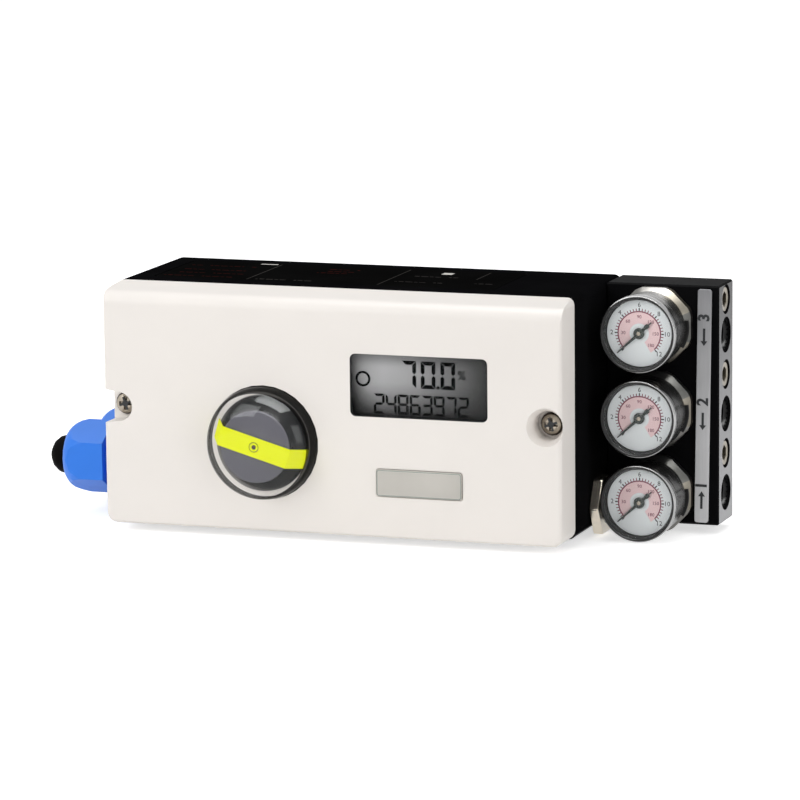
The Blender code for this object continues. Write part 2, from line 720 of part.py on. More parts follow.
def window_outline(inset):
    half_x = DISPLAY_WINDOW_WIDTH / 2 - inset
    half_z = DISPLAY_WINDOW_HEIGHT / 2 - inset
    x, z = DISPLAY_FROM_SHAFT, TOP - DISPLAY_DOWN
    corner = max(DISPLAY_WINDOW_CORNER - inset, 0.5)
    return rounded(x - half_x, z - half_z, x + half_x, z + half_z, corner)


def badge_outline(inset):
    half_x = BADGE_WIDTH / 2 - inset
    half_z = BADGE_HEIGHT / 2 - inset
    x, z = DISPLAY_FROM_SHAFT, BOTTOM + BADGE_UP
    return rounded(x - half_x, z - half_z, x + half_x, z + half_z, BADGE_CORNER - inset, 3)


def make_cover_trim():
    """What rides on the cover: two windows, the badge and two captive screws."""
    clear = finish("clear_window", (0.85, 0.87, 0.88), 0.05, alpha=0.3)
    middle = WINDOW_BACK + WINDOW_FLANGE_THICK / 2
    window = plate("display_window", [window_outline(SEAT)], middle, COVER_FACE - WINDOW_SUNK)
    flange = window_outline(-WINDOW_FLANGE)
    join(window, plate("window_flange", [flange], WINDOW_BACK, WINDOW_BACK + WINDOW_FLANGE_THICK))
    dome = turned("indicator_dome", dome_profile(), FORWARD, spot(0, COVER_FACE, 0), 30)
    paint(clear, window, dome)
    start = COVER_FACE - BADGE_SUNK + SEAT
    badge = plate("badge_plate", [badge_outline(SEAT)], start, start + BADGE_THICK)
    paint(finish("satin_metal", (0.62, 0.62, 0.63), 0.35, 1.0), badge)
    screws = [make_cover_screw(side, x) for side, x in COVER_SCREW_XS.items()]
    return [window, dome, badge], screws


def dome_curve(radius, rise, steps=6):
    """A dome with steep sides and a flat crown, as a superellipse from its rim to its middle."""
    turns = [math.radians(90 * i / steps) for i in range(steps)]
    curve = [
        (radius * math.cos(t) ** (2 / DOME_SIDE_POWER), rise * math.sin(t) ** (2 / DOME_CROWN_POWER))
        for t in turns
    ]
    return curve + [(0, rise)]


def dome_profile():
    """Half section of the clear dome, from its crown down its outside and back up its inside."""
    flange_face = -COVER_WALL - SEAT
    flange_back = flange_face - DOME_FLANGE_THICK
    inner = DOME_RADIUS - DOME_WALL
    outside = dome_curve(DOME_RADIUS, DOME_RISE)[::-1] + [(DOME_RADIUS, flange_face)]
    flange = [(DOME_RADIUS + DOME_FLANGE, flange_face), (DOME_RADIUS + DOME_FLANGE, flange_back)]
    return outside + flange + [(inner, flange_back)] + dome_curve(inner, DOME_RISE - DOME_WALL)


def make_cover_screw(side, x):
    seat = COVER_FACE - SCOOP_DEPTH + SEAT
    head = SCREW_HEAD_HEIGHT
    reach = seat - HOUSING_DEPTH + SCREW_REACH
    profile = [(0, head), (SCREW_HEAD_RADIUS * 0.5, head * 0.96), (SCREW_HEAD_RADIUS * 0.85, head * 0.72)]
    profile += [(SCREW_HEAD_RADIUS, head * 0.3), (SCREW_HEAD_RADIUS, 0), (SCREW_RADIUS, 0)]
    profile += [(SCREW_RADIUS, 0.6 - reach), (SCREW_RADIUS - 0.6, -reach), (0, -reach)]
    at = spot(x, seat, COVER_SCREW_Z)
    screw = turned(f"cover_screw_{side}", profile, FORWARD, at, 16)
    half = CROSS_SLOT_LENGTH / 2
    thin = CROSS_SLOT_WIDTH / 2
    z = COVER_SCREW_Z
    forward = (seat + head - CROSS_SLOT_DEPTH, seat + head + 1)
    cut(screw, block(f"slot_across_{side}", (x - half, x + half), forward, (z - thin, z + thin)))
    cut(screw, block(f"slot_up_{side}", (x - thin, x + thin), forward, (z - half, z + half)))
    paint(finish("steel", (0.55, 0.53, 0.5), 0.35, 1.0), screw)
    return screw


def make_indicator():
    """The turning cap under the dome with its bent stripe and its screw."""
    bore = SHAFT_FRONT_RADIUS + SEAT
    neck = CAP_SCREW_RADIUS + SEAT
    roof = CAP_TOP - CAP_WALL
    profile = [(neck, CAP_TOP), (CAP_TOP_RADIUS, CAP_TOP), (CAP_BASE_RADIUS, CAP_BASE)]
    profile += [(CAP_BASE_RADIUS, CAP_BASE - 1), (CAP_BASE_RADIUS - CAP_WALL, CAP_BASE - 1)]
    profile += [(CAP_BASE_RADIUS - CAP_WALL, CAP_BASE - 0.4), (CAP_TOP_RADIUS - 0.6, roof)]
    profile += [(CAP_HUB_RADIUS, roof), (CAP_HUB_RADIUS, -CAP_HUB_BACK), (bore, -CAP_HUB_BACK)]
    profile += [(bore, roof - CAP_WALL), (neck, roof - CAP_WALL)]
    at = spot(0, COVER_FACE, 0)
    cap = turned("indicator_cap", profile, FORWARD, at, 28, ring=True)
    paint(finish("grey_cap", (0.1, 0.09, 0.12), 0.35), cap)
    stripe = make_stripe()
    head = CAP_TOP + SEAT + STRIPE_THICK
    profile = [(0, head), (CAP_SCREW_HEAD_RADIUS, head - 0.1), (CAP_SCREW_HEAD_RADIUS, CAP_TOP + SEAT)]
    foot = roof - CAP_WALL - SEAT - CAP_SCREW_REACH
    profile += [(CAP_SCREW_RADIUS, CAP_TOP + SEAT), (CAP_SCREW_RADIUS, foot), (0, foot)]
    screw = turned("indicator_screw", profile, FORWARD, at, 12)
    paint(finish("steel", (0.55, 0.53, 0.5), 0.35, 1.0), screw)
    return [cap, stripe, screw]


def make_stripe():
    """A yellow strip bent over the cap's top and down both flanks."""
    low = CAP_BASE + 0.4
    spread = (CAP_BASE_RADIUS - CAP_TOP_RADIUS) / (CAP_TOP - CAP_BASE)
    inner = SEAT
    outer = inner + STRIPE_THICK
    foot = CAP_TOP_RADIUS + (CAP_TOP - low) * spread
    bend_in = CAP_TOP_RADIUS + inner * 0.6
    bend_out = CAP_TOP_RADIUS + outer * 0.6
    half = [(bend_out, CAP_TOP + outer), (foot + outer, low)]
    back = [(foot + inner, low), (bend_in, CAP_TOP + inner)]
    points = [(-x, z) for x, z in reversed(half)] + half + back + [(-x, z) for x, z in reversed(back)]
    turn = Matrix.Rotation(math.radians(-INDICATOR_TURN), 3, "Y")
    along = turn @ DOWNWARD
    half = STRIPE_WIDTH / 2
    stripe = plate("indicator_stripe", [points], -half, half, along, spot(0, COVER_FACE, 0))
    at = spot(0, COVER_FACE + CAP_TOP - 1, 0)
    cut(stripe, rod("stripe_hole", CAP_SCREW_HEAD_RADIUS + SEAT, 4, FORWARD, at, 12))
    paint(finish("signal_yellow", (0.8, 0.95, 0.02), 0.5), stripe)
    return stripe


def make_shaft():
    """The feedback shaft: stepped, with a flat on its rear end for the lever and a tapped front end."""
    front = COVER_FACE + CAP_TOP - 2 * CAP_WALL - SEAT
    hole = CAP_SCREW_RADIUS + SEAT
    floor = front - CAP_SCREW_REACH - 1
    profile = [(0, floor), (hole, floor), (hole, front), (SHAFT_FRONT_RADIUS, front)]
    profile += [(SHAFT_FRONT_RADIUS, SHAFT_STEP_FORWARD), (SHAFT_RADIUS, SHAFT_STEP_FORWARD)]
    profile += [(SHAFT_RADIUS, 0.5 - SHAFT_BEHIND), (SHAFT_RADIUS - 0.5, -SHAFT_BEHIND), (0, -SHAFT_BEHIND)]
    shaft = turned("feedback_shaft", profile, FORWARD, spot(0, 0, 0), 20)
    flat = (SHAFT_RADIUS - SHAFT_FLAT, SHAFT_RADIUS + 2)
    forward = (-SHAFT_BEHIND - 1, -SHAFT_BEHIND + SHAFT_FLAT_LENGTH)
    cut(shaft, block("shaft_flat", (-SHAFT_RADIUS - 1, SHAFT_RADIUS + 1), forward, flat))
    paint(finish("bright_steel", (0.6, 0.6, 0.61), 0.25, 1.0), shaft)
    return shaft


def gear_outline(teeth, turn):
    """Straight-flanked teeth that stand thinner than their gaps, so that they run with slack."""
    pitch = TOOTH_MODULE * teeth / 2
    tip, root = pitch + 0.9 * TOOTH_MODULE, pitch - 1.2 * TOOTH_MODULE
    step = 360 / teeth
    wide, narrow = step * TOOTH_SHARE * 0.66, step * TOOTH_SHARE * 0.32
    points = []
    for i in range(teeth):
        middle = turn + step * i
        for radius, offset in ((root, -wide), (tip, -narrow), (tip, narrow), (root, wide)):
            angle = math.radians(middle + offset)
            points.append((radius * math.cos(angle), radius * math.sin(angle)))
    return points


def make_gears():
    """The drive gear on the shaft and the gear of the position sensor that it turns."""
    brass = finish("brass", (0.6, 0.42, 0.17), 0.35, 1.0)
    end = GEAR_FORWARD + GEAR_THICK
    loops = [gear_outline(DRIVE_TEETH, 0), circle(0, 0, SHAFT_RADIUS + SEAT, 20)]
    drive = plate("drive_gear", loops, GEAR_FORWARD, end)
    hub_loops = [circle(0, 0, GEAR_HUB_RADIUS), circle(0, 0, SHAFT_RADIUS + SEAT, 20)]
    join(drive, plate("drive_hub", hub_loops, end - 1, end + GEAR_HUB_THICK))
    at = spot(SENSOR_X, 0, 0)
    outline = gear_outline(SENSOR_TEETH, 180 + 180 / SENSOR_TEETH)
    sensor = plate("sensor_gear", [outline], GEAR_FORWARD, end, FORWARD, at)
    back = GEAR_FORWARD - SENSOR_ARBOR_BACK
    at = spot(SENSOR_X, back, 0)
    join(sensor, rod("sensor_arbor", SENSOR_ARBOR_RADIUS, SENSOR_ARBOR_BACK + 1, FORWARD, at, 16))
    paint(brass, drive, sensor)
    return drive, sensor


def make_inside():
    """What the housing holds: bush, sensor, boards, panel, display, terminals and the air parts."""
    steel = finish("bright_steel", (0.6, 0.6, 0.61), 0.25, 1.0)
    black = finish("black_plastic", (0.02, 0.02, 0.02), 0.5)
    inner, outer, flange = SHAFT_RADIUS + RUN, BUSH_RADIUS, BUSH_FLANGE_RADIUS
    top = BUSH_LENGTH + 2 * SEAT + BUSH_FLANGE_THICK
    under = BUSH_LENGTH + 2 * SEAT
    profile = [(inner, top), (flange, top), (flange, under), (outer, under), (outer, 1), (inner, 1)]
    bush = turned("shaft_bush", profile, FORWARD, spot(0, 0, 0), 20, ring=True)
    paint(finish("bronze", (0.5, 0.33, 0.16), 0.4, 1.0), bush)
    start = BACK_WALL + SEAT
    sensor = rod("position_sensor", SENSOR_RADIUS, SENSOR_THICK, FORWARD, spot(SENSOR_X, start, 0))
    at = spot(SENSOR_X, GEAR_FORWARD - SENSOR_ARBOR_BACK - SEAT, 0)
    cut(sensor, rod("arbor_bore", SENSOR_ARBOR_RADIUS + RUN, SENSOR_THICK, FORWARD, at, 16))
    paint(black, sensor)
    make_boards(black)
    make_air_parts(steel)


def inner_outline(inset, right):
    return rounded(INNER_LEFT + inset, INNER_BOTTOM + inset, right - inset, INNER_TOP - inset, 2)


def make_boards(black):
    board_right = BOSS_END - RELAY_WIDTH
    outline = inner_outline(BOARD_INSET, board_right + BOARD_INSET / 2)
    loops = [outline, circle(0, 0, SHAFT_FRONT_RADIUS + 1, 16)]
    board = plate("circuit_board", loops, BOARD_BACK, BOARD_BACK + BOARD_THICK)
    for i, (x, z) in enumerate(post_spots()):
        at = spot(x, BOARD_BACK - 1, z)
        cut(board, rod(f"post_hole_{i}", POST_RADIUS + SEAT, BOARD_THICK + 2, FORWARD, at, 12))
    paint(finish("board_green", (0.02, 0.15, 0.06), 0.4), board)
    loops = [inner_outline(PANEL_EDGE_GAP, INNER_RIGHT), circle(0, 0, PANEL_SHAFT_HOLE, 16)]
    panel = plate("inner_panel", loops, PANEL_BACK, PANEL_FACE)
    for i, x in enumerate(button_xs()):
        at = spot(x, PANEL_BACK - 1, BUTTON_Z)
        cut(panel, rod(f"button_hole_{i}", BUTTON_RADIUS + RUN, PANEL_THICK + 2, FORWARD, at, 12))
    for side, x in COVER_SCREW_XS.items():
        at = spot(x, PANEL_BACK - 1, COVER_SCREW_Z)
        cut(panel, rod(f"panel_notch_{side}", SCREW_BOSS_RADIUS + SEAT, PANEL_THICK + 2, FORWARD, at, 16))
    paint(finish("grey_panel", (0.25, 0.26, 0.27), 0.5), panel)
    make_display()
    make_terminals()


def make_display():
    z = TOP - DISPLAY_DOWN
    face = WINDOW_BACK - DISPLAY_BEHIND_WINDOW
    outline = window_outline(-DISPLAY_FRAME)
    display = plate("display_module", [outline], PANEL_FACE + SEAT, face)
    cut(display, plate("display_recess", [window_outline(0.5)], face - DISPLAY_GLASS_SUNK, face + 1))
    paint(finish("display_grey", (0.35, 0.37, 0.36), 0.3), display)
    return z


def make_terminals():
    length = TERMINAL_POLES * TERMINAL_PITCH + 2
    x0 = TERMINAL_FROM_SHAFT - length / 2
    z = TOP - TERMINAL_DOWN
    forward = (PANEL_FACE + SEAT, PANEL_FACE + SEAT + TERMINAL_DEPTH)
    half = TERMINAL_HEIGHT / 2
    body = block("terminal_block", (x0, x0 + length), forward, (z - half, z + half))
    for i in range(TERMINAL_POLES):
        x = x0 + 1 + TERMINAL_PITCH * (i + 0.5)
        at = spot(x, forward[1] - TERMINAL_SCREW_DEPTH, z + half / 2)
        cut(body, rod(f"terminal_screw_{i}", TERMINAL_SCREW_RADIUS, TERMINAL_SCREW_DEPTH + 1, FORWARD, at, 8))
        side = TERMINAL_WIRE_SIDE / 2
        wire = (forward[1] - 2 * side - 1, forward[1] - 1)
        low = (z - half - 1, z - half + TERMINAL_WIRE_DEPTH)
        cut(body, block(f"wire_hole_{i}", (x - side, x + side), wire, low))
    paint(finish("terminal_green", (0.05, 0.3, 0.12), 0.5), body)


def make_air_parts(steel):
    x1 = BOSS_END - SEAT
    x0 = x1 - RELAY_WIDTH
    module_back = PANEL_BACK - MODULE_BEHIND_PANEL - MODULE_DEPTH - MODULE_CAP_DEPTH
    forward = (BACK_WALL + SEAT, module_back - SEAT)
    z = (INNER_BOTTOM + RELAY_MARGIN, INNER_TOP - RELAY_MARGIN)
    relay = block("air_relay", (x0, x1), forward, z)
    for i, up in enumerate(PORT_UPS):
        at = spot(x1 - 1, PORT_FORWARD, BOTTOM + up)
        length = INNER_RIGHT - SEAT - x1 + 1
        join(relay, rod(f"relay_spigot_{i}", RELAY_SPIGOT_RADIUS, length, RIGHTWARD, at, 12))
        at = spot(x1 - RELAY_PORT_DEPTH, PORT_FORWARD, BOTTOM + up)
        cut(relay, rod(f"relay_port_{i}", PASSAGE_RADIUS, RELAY_PORT_DEPTH + 20, RIGHTWARD, at, 12))
    paint(finish("alloy", (0.5, 0.51, 0.52), 0.4, 1.0), relay)
    profile = [(0, MODULE_DEPTH + MODULE_CAP_DEPTH), (MODULE_CAP_RADIUS, MODULE_DEPTH + MODULE_CAP_DEPTH)]
    profile += [(MODULE_CAP_RADIUS, MODULE_DEPTH), (MODULE_RADIUS, MODULE_DEPTH), (MODULE_RADIUS, 0), (0, 0)]
    at = spot((x0 + x1) / 2, module_back, BOTTOM + MODULE_UP)
    module = turned("pressure_module", profile, FORWARD, at, 20)
    paint(steel, module)


def button_xs():
    span = BUTTON_PITCH * (BUTTON_COUNT - 1)
    return [DISPLAY_FROM_SHAFT - span / 2 + BUTTON_PITCH * i for i in range(BUTTON_COUNT)]


def make_buttons():
    """Four push-buttons, each held behind the panel by its flange."""
    black = finish("black_plastic", (0.02, 0.02, 0.02), 0.5)
    names = ("mode_button", "enter_button", "up_button", "down_button")
    foot = BOARD_BACK + BOARD_THICK + SEAT + BUTTON_TRAVEL
    flange = PANEL_BACK - SEAT
    wide = BUTTON_RADIUS + BUTTON_FLANGE
    for name, x in zip(names, button_xs()):
        at = spot(x, 0, BUTTON_Z)
        top = PANEL_FACE + BUTTON_PROUD
        profile = [(0, top), (BUTTON_RADIUS - 0.5, top), (BUTTON_RADIUS, top - 0.5), (BUTTON_RADIUS, flange)]
        profile += [(wide, flange), (wide, flange - BUTTON_FLANGE_THICK)]
        profile += [(BUTTON_RADIUS - 1, flange - BUTTON_FLANGE_THICK), (BUTTON_RADIUS - 1, foot), (0, foot)]
        button = turned(name, profile, FORWARD, at, 12)
        paint(black, button)


def make_gauge_block():
    """The drilled aluminium block: ports on its right, gauges on its front, long bolts through it."""
    body = block("gauge_block", (BLOCK_LEFT, BLOCK_RIGHT), (0, BLOCK_DEPTH), (BOTTOM, TOP))
    round_edges(body, lambda a, b: True, BLOCK_CHAMFER, 1)
    for i, up in enumerate(PORT_UPS):
        z = BOTTOM + up
        at = spot(BLOCK_RIGHT - PORT_DEPTH, PORT_FORWARD, z)
        cut(body, rod(f"port_{i}", PORT_RADIUS - PORT_MOUTH, PORT_DEPTH + BLIND_END, RIGHTWARD, at, 20))
        at = spot(BLOCK_RIGHT - PORT_MOUTH, PORT_FORWARD, z)
        cut(body, rod(f"port_mouth_{i}", PORT_RADIUS, PORT_MOUTH + BLIND_END, RIGHTWARD, at, 20))
        length = BLOCK_WIDTH - PORT_DEPTH + 2 * BLIND_END
        at = spot(BLOCK_LEFT - BLIND_END, PORT_FORWARD, z)
        cut(body, rod(f"passage_{i}", PASSAGE_RADIUS, length, RIGHTWARD, at, 12))
    for i, up in enumerate(GAUGE_UPS):
        depth = GAUGE_STEM_LENGTH + SEAT
        at = spot(GAUGE_X, BLOCK_DEPTH - depth, BOTTOM + up)
        cut(body, rod(f"gauge_port_{i}", GAUGE_STEM_RADIUS + SEAT, depth + BLIND_END, FORWARD, at, 16))
    sunk = BOLT_HEAD_HEIGHT + BOLT_HEAD_SUNK + SEAT
    for i, up in enumerate(BOLT_UPS):
        z = BOTTOM + up
        at = spot(BLOCK_RIGHT - sunk, PORT_FORWARD, z)
        radius = BOLT_HEAD_RADIUS + 2 * SEAT
        cut(body, rod(f"counterbore_{i}", radius, sunk + BLIND_END, RIGHTWARD, at, 16))
        at = spot(BLOCK_LEFT - BLIND_END, PORT_FORWARD, z)
        cut(body, rod(f"bolt_passage_{i}", BOLT_RADIUS + RUN, BLOCK_WIDTH, RIGHTWARD, at, 12))
    paint(finish("black_anodised", (0.025, 0.025, 0.028), 0.4, 0.5), body)
    steel = finish("steel", (0.55, 0.53, 0.5), 0.35, 1.0)
    for name, up in zip(("lower", "middle", "upper"), BOLT_UPS):
        paint(steel, make_block_bolt(name, BOTTOM + up))
    make_strip()


def make_block_bolt(name, z):
    seat = BLOCK_RIGHT - BOLT_HEAD_SUNK - BOLT_HEAD_HEIGHT
    reach = seat - BOLT_END - SEAT
    head = BOLT_HEAD_HEIGHT
    wide = BOLT_HEAD_RADIUS
    profile = [(0, head), (wide - 0.5, head), (wide, head - 0.5), (wide, 0)]
    profile += [(BOLT_RADIUS, 0), (BOLT_RADIUS, 0.6 - reach), (BOLT_RADIUS - 0.6, -reach), (0, -reach)]
    bolt = turned(f"block_bolt_{name}", profile, RIGHTWARD, spot(seat, PORT_FORWARD, z), 16)
    outline = polygon(-PORT_FORWARD, z, BOLT_SOCKET, 6)
    top = seat + head
    cut(bolt, plate(f"bolt_socket_{name}", [outline], top - BOLT_SOCKET_DEPTH, top + 1, RIGHTWARD))
    return bolt


def make_strip():
    x1 = BLOCK_RIGHT - STRIP_FROM_RIGHT
    middle = (BOTTOM + TOP) / 2
    half = STRIP_LENGTH / 2
    outline = rounded(x1 - STRIP_WIDTH, middle - half, x1, middle + half, STRIP_CORNER)
    strip = plate("port_strip", [outline], BLOCK_DEPTH + SEAT, BLOCK_DEPTH + SEAT + STRIP_THICK)
    paint(finish("satin_metal", (0.62, 0.62, 0.63), 0.35, 1.0), strip)


def case_profile():
    """Half section of a gauge: pocket for the arbor and dial, bezel, can, and stem."""
    dial = GAUGE_REACH
    floor = dial - DIAL_THICK - SEAT
    ledge = dial + GLASS_OVER_DIAL - SEAT
    rim = dial + BEZEL_PROUD
    glass = GLASS_RADIUS + SEAT
    back = COLLAR_THICK + 2 * SEAT
    hole = ARBOR_RADIUS + RUN
    pocket = floor - ARBOR_LENGTH - SEAT
    points = [(0, pocket), (hole, pocket), (hole, floor), (DIAL_RADIUS + SEAT, floor), (glass - 0.65, ledge)]
    points += [(glass, ledge), (glass, rim - 0.4), (glass + 0.3, rim), (GAUGE_RADIUS - 0.3, rim - 0.1)]
    points += [(GAUGE_RADIUS, rim - 0.6), (GAUGE_RADIUS, rim - BEZEL_LENGTH)]
    points += [(GAUGE_CAN_RADIUS, rim - BEZEL_LENGTH - 0.4), (GAUGE_CAN_RADIUS, back + 1)]
    points += [(GAUGE_CAN_RADIUS - 1, back), (GAUGE_STEM_RADIUS, back)]
    return points + [(GAUGE_STEM_RADIUS, -GAUGE_STEM_LENGTH), (0, -GAUGE_STEM_LENGTH)]


def make_gauge(name, up):
    """One pressure gauge: collar, case with bezel, dial, pointer and glass."""
    z = BOTTOM + up
    at = spot(GAUGE_X, BLOCK_DEPTH, z)
    loops = [polygon(0, 0, COLLAR_ACROSS, 8, 22.5), circle(0, 0, GAUGE_STEM_RADIUS + SEAT, 20)]
    collar = plate(f"gauge_collar_{name}", loops, SEAT, SEAT + COLLAR_THICK, FORWARD, at)
    case = turned(f"gauge_case_{name}", case_profile(), FORWARD, at, 24)
    paint(finish("nickel", (0.66, 0.65, 0.62), 0.2, 1.0), collar, case)
    loops = [circle(0, 0, DIAL_RADIUS, 24), circle(0, 0, ARBOR_RADIUS + RUN, 8)]
    dial = plate(f"gauge_dial_{name}", loops, GAUGE_REACH - DIAL_THICK, GAUGE_REACH, FORWARD, at)
    paint(finish("white_dial", (0.85, 0.86, 0.87), 0.5), dial)
    start = GAUGE_REACH + GLASS_OVER_DIAL
    glass = rod(f"gauge_glass_{name}", GLASS_RADIUS, GLASS_THICK, FORWARD, at + spot(0, start, 0), 24)
    paint(finish("clear_window", (0.85, 0.87, 0.88), 0.05, alpha=0.3), glass)
    pointer = make_pointer(name, at)
    pivot(f"pointer_axis_{name}", at, pointer)


def make_pointer(name, at):
    start = GAUGE_REACH + NEEDLE_OVER_DIAL
    wide, tail = NEEDLE_HALF_WIDTH, NEEDLE_TAIL_HALF
    outline = [(NEEDLE_LENGTH, -0.12), (NEEDLE_LENGTH, 0.12), (0, wide), (-NEEDLE_TAIL, tail)]
    outline += [(-NEEDLE_TAIL, -tail), (0, -wide)]
    turn = Matrix.Rotation(math.radians(NEEDLE_AT_REST), 3, "Z")
    needle = plate(f"gauge_pointer_{name}", [outline], start, start + NEEDLE_THICK, FORWARD @ turn, at)
    hub = NEEDLE_HUB_RADIUS
    below = start - 0.1
    join(needle, rod(f"pointer_hub_{name}", hub, NEEDLE_HUB_THICK, FORWARD, at + spot(0, below, 0), 12))
    foot = GAUGE_REACH - DIAL_THICK - SEAT - ARBOR_LENGTH
    length = start - foot + NEEDLE_THICK / 2
    join(needle, rod(f"pointer_arbor_{name}", ARBOR_RADIUS, length, FORWARD, at + spot(0, foot, 0), 8))
    paint(finish("needle_black", (0.01, 0.01, 0.01), 0.5), needle)
    return needle


def make_plug():
    """The hexagonal blanking plug low on the right wall."""
    z = BOTTOM + PLUG_UP
    start = RIGHT + SEAT
    outline = polygon(-PLUG_FORWARD, z, PLUG_ACROSS, 6)
    plug = plate("blanking_plug", [outline], start, start + PLUG_HEAD, RIGHTWARD)
    length = HOUSING_WALL + SEAT
    at = spot(start - length, PLUG_FORWARD, z)
    join(plug, rod("plug_thread", PLUG_THREAD_RADIUS, length + 1, RIGHTWARD, at, 16))
    at = spot(start + PLUG_HEAD - PLUG_DISH_DEPTH, PLUG_FORWARD, z)
    cut(plug, rod("plug_dish", PLUG_DISH_RADIUS, PLUG_DISH_DEPTH + 1, RIGHTWARD, at, 16))
    paint(finish("nickel", (0.66, 0.65, 0.62), 0.2, 1.0), plug)


def make_gland(name, forward, nut_back):
    """One cable gland: threaded body with hexagon, domed nut, and rubber seal with its dust plug."""
    blue = finish("gland_blue", (0.08, 0.3, 0.85), 0.45)
    z = BOTTOM + GLAND_UP
    at = spot(LEFT, forward, z)
    bore, neck, thread = GLAND_BORE_RADIUS, GLAND_NECK_RADIUS, GLAND_THREAD_RADIUS
    hexagon_end = SEAT + GLAND_HEX_THICK
    neck_end = nut_back + GLAND_NECK_INTO_NUT
    profile = [(bore, neck_end), (neck, neck_end), (neck, SEAT + 1), (thread, SEAT + 1)]
    profile += [(thread, -GLAND_THREAD_LENGTH), (bore, -GLAND_THREAD_LENGTH)]
    body = turned(f"gland_body_{name}", profile, LEFTWARD, at, 20, ring=True)
    loops = [polygon(0, 0, GLAND_ACROSS, 6, 90), circle(0, 0, (bore + neck) / 2, 20)]
    join(body, plate(f"gland_hex_{name}", loops, SEAT, hexagon_end, LEFTWARD, at))
    nut_end = nut_back + GLAND_NUT_LENGTH
    nut = plate(f"gland_nut_{name}", [polygon(0, 0, GLAND_ACROSS, 6, 90)], nut_back, nut_end, LEFTWARD, at)
    corner = GLAND_ACROSS / 2 / math.cos(math.pi / 6)
    shape = turned(f"nut_dome_{name}", nut_dome(corner, nut_back, nut_end), LEFTWARD, at, 20)
    use_tool(nut, shape, "INTERSECT")
    bore_end = neck_end + SEAT
    inside = at - Vector(((nut_back - 1) * MM, 0, 0))
    cut(nut, rod(f"nut_bore_{name}", neck + RUN, bore_end - nut_back + 1, LEFTWARD, inside))
    cut(nut, rod(f"nut_mouth_{name}", GLAND_SEAL_RADIUS + RUN, GLAND_NUT_LENGTH + 2, LEFTWARD, inside))
    paint(blue, body, nut)
    tip = nut_end + GLAND_SEAL_PROUD
    seal = GLAND_SEAL_RADIUS
    base = tip - GLAND_SEAL_DOME
    turns = [math.radians(22.5 * i) for i in range(5)]
    dome = [(seal * math.sin(t), base + GLAND_SEAL_DOME * math.cos(t)) for t in turns]
    plug = turned(f"gland_seal_{name}", dome + [(seal, nut_back), (0, nut_back)], LEFTWARD, at, 16)
    paint(finish("black_rubber", (0.015, 0.015, 0.015), 0.8), plug)
    pivot(f"gland_nut_axis_{name}", at, nut)


def nut_dome(corner, back, end):
    """The turned outside of a gland nut: straight over its flats, then rounding to its mouth."""
    start = end - GLAND_NUT_DOME
    fall = corner + 0.2 - GLAND_NUT_MOUTH
    rise = GLAND_NUT_DOME + 0.02
    steps = [math.radians(90 - 18 * i) for i in range(6)]
    curve = [(GLAND_NUT_MOUTH + fall * math.cos(t), start + rise * math.sin(t)) for t in steps]
    return [(0, curve[0][1])] + curve + [(corner + 0.2, back - 1), (0, back - 1)]


def main():
    start_scene()
    make_housing()
    make_gasket()
    make_film()
    cover = make_cover()
    trim, screws = make_cover_trim()
    pivot("cover_slide", spot(0, COVER_BACK, 0), cover, *trim)
    for side, screw in zip(COVER_SCREW_XS, screws):
        pivot(f"cover_screw_axis_{side}", spot(COVER_SCREW_XS[side], COVER_FACE, COVER_SCREW_Z), screw)
    indicator = make_indicator()
    shaft = make_shaft()
    drive, sensor = make_gears()
    pivot("shaft_axis", spot(0, 0, 0), shaft, drive, *indicator)
    pivot("sensor_axis", spot(SENSOR_X, GEAR_FORWARD, 0), sensor)
    make_inside()
    make_buttons()
    make_gauge_block()
    for name, up in zip(("lower", "middle", "upper"), GAUGE_UPS):
        make_gauge(name, up)
    make_plug()
    make_gland("front", FRONT_GLAND, FRONT_NUT_STANDS_OFF)
    make_gland("rear", REAR_GLAND, REAR_NUT_STANDS_OFF)


main()
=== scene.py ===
"""A valve positioner in a plain studio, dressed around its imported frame.

Lengths in the helpers and tables are millimetres. The frame is in metres.
"""

import math

import bmesh
import bpy
from mathutils import Matrix, Vector


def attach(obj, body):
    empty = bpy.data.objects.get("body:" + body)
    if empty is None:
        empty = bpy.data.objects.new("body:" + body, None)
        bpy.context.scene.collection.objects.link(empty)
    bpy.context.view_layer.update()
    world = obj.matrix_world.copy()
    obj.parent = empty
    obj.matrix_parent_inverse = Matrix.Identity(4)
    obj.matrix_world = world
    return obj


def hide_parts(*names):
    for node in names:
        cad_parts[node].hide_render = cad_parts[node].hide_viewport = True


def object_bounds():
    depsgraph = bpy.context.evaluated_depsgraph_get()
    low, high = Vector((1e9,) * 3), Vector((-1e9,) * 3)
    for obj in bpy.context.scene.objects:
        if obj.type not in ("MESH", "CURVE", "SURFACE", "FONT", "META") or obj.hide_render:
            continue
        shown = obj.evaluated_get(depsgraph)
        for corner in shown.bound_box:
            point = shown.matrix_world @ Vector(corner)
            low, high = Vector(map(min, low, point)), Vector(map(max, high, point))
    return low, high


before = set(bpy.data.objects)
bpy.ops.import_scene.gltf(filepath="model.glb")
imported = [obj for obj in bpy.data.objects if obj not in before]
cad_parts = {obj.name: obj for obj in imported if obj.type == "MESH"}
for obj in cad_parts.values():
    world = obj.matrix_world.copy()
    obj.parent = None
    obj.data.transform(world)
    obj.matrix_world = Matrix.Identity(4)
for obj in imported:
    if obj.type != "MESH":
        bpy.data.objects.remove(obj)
cad_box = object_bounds()
MM = 0.001

# The photograph's view: turned 19 degrees to the right and looking down by 10
VIEW_TURN = 19.11
VIEW_TILT = 9.82
VIEW_ROLL = 0.58
VIEW_DISTANCE = 1857.8
VIEW_CENTRE = (26.56, 0.0, 4.4)
VIEW_LENS = 223.4

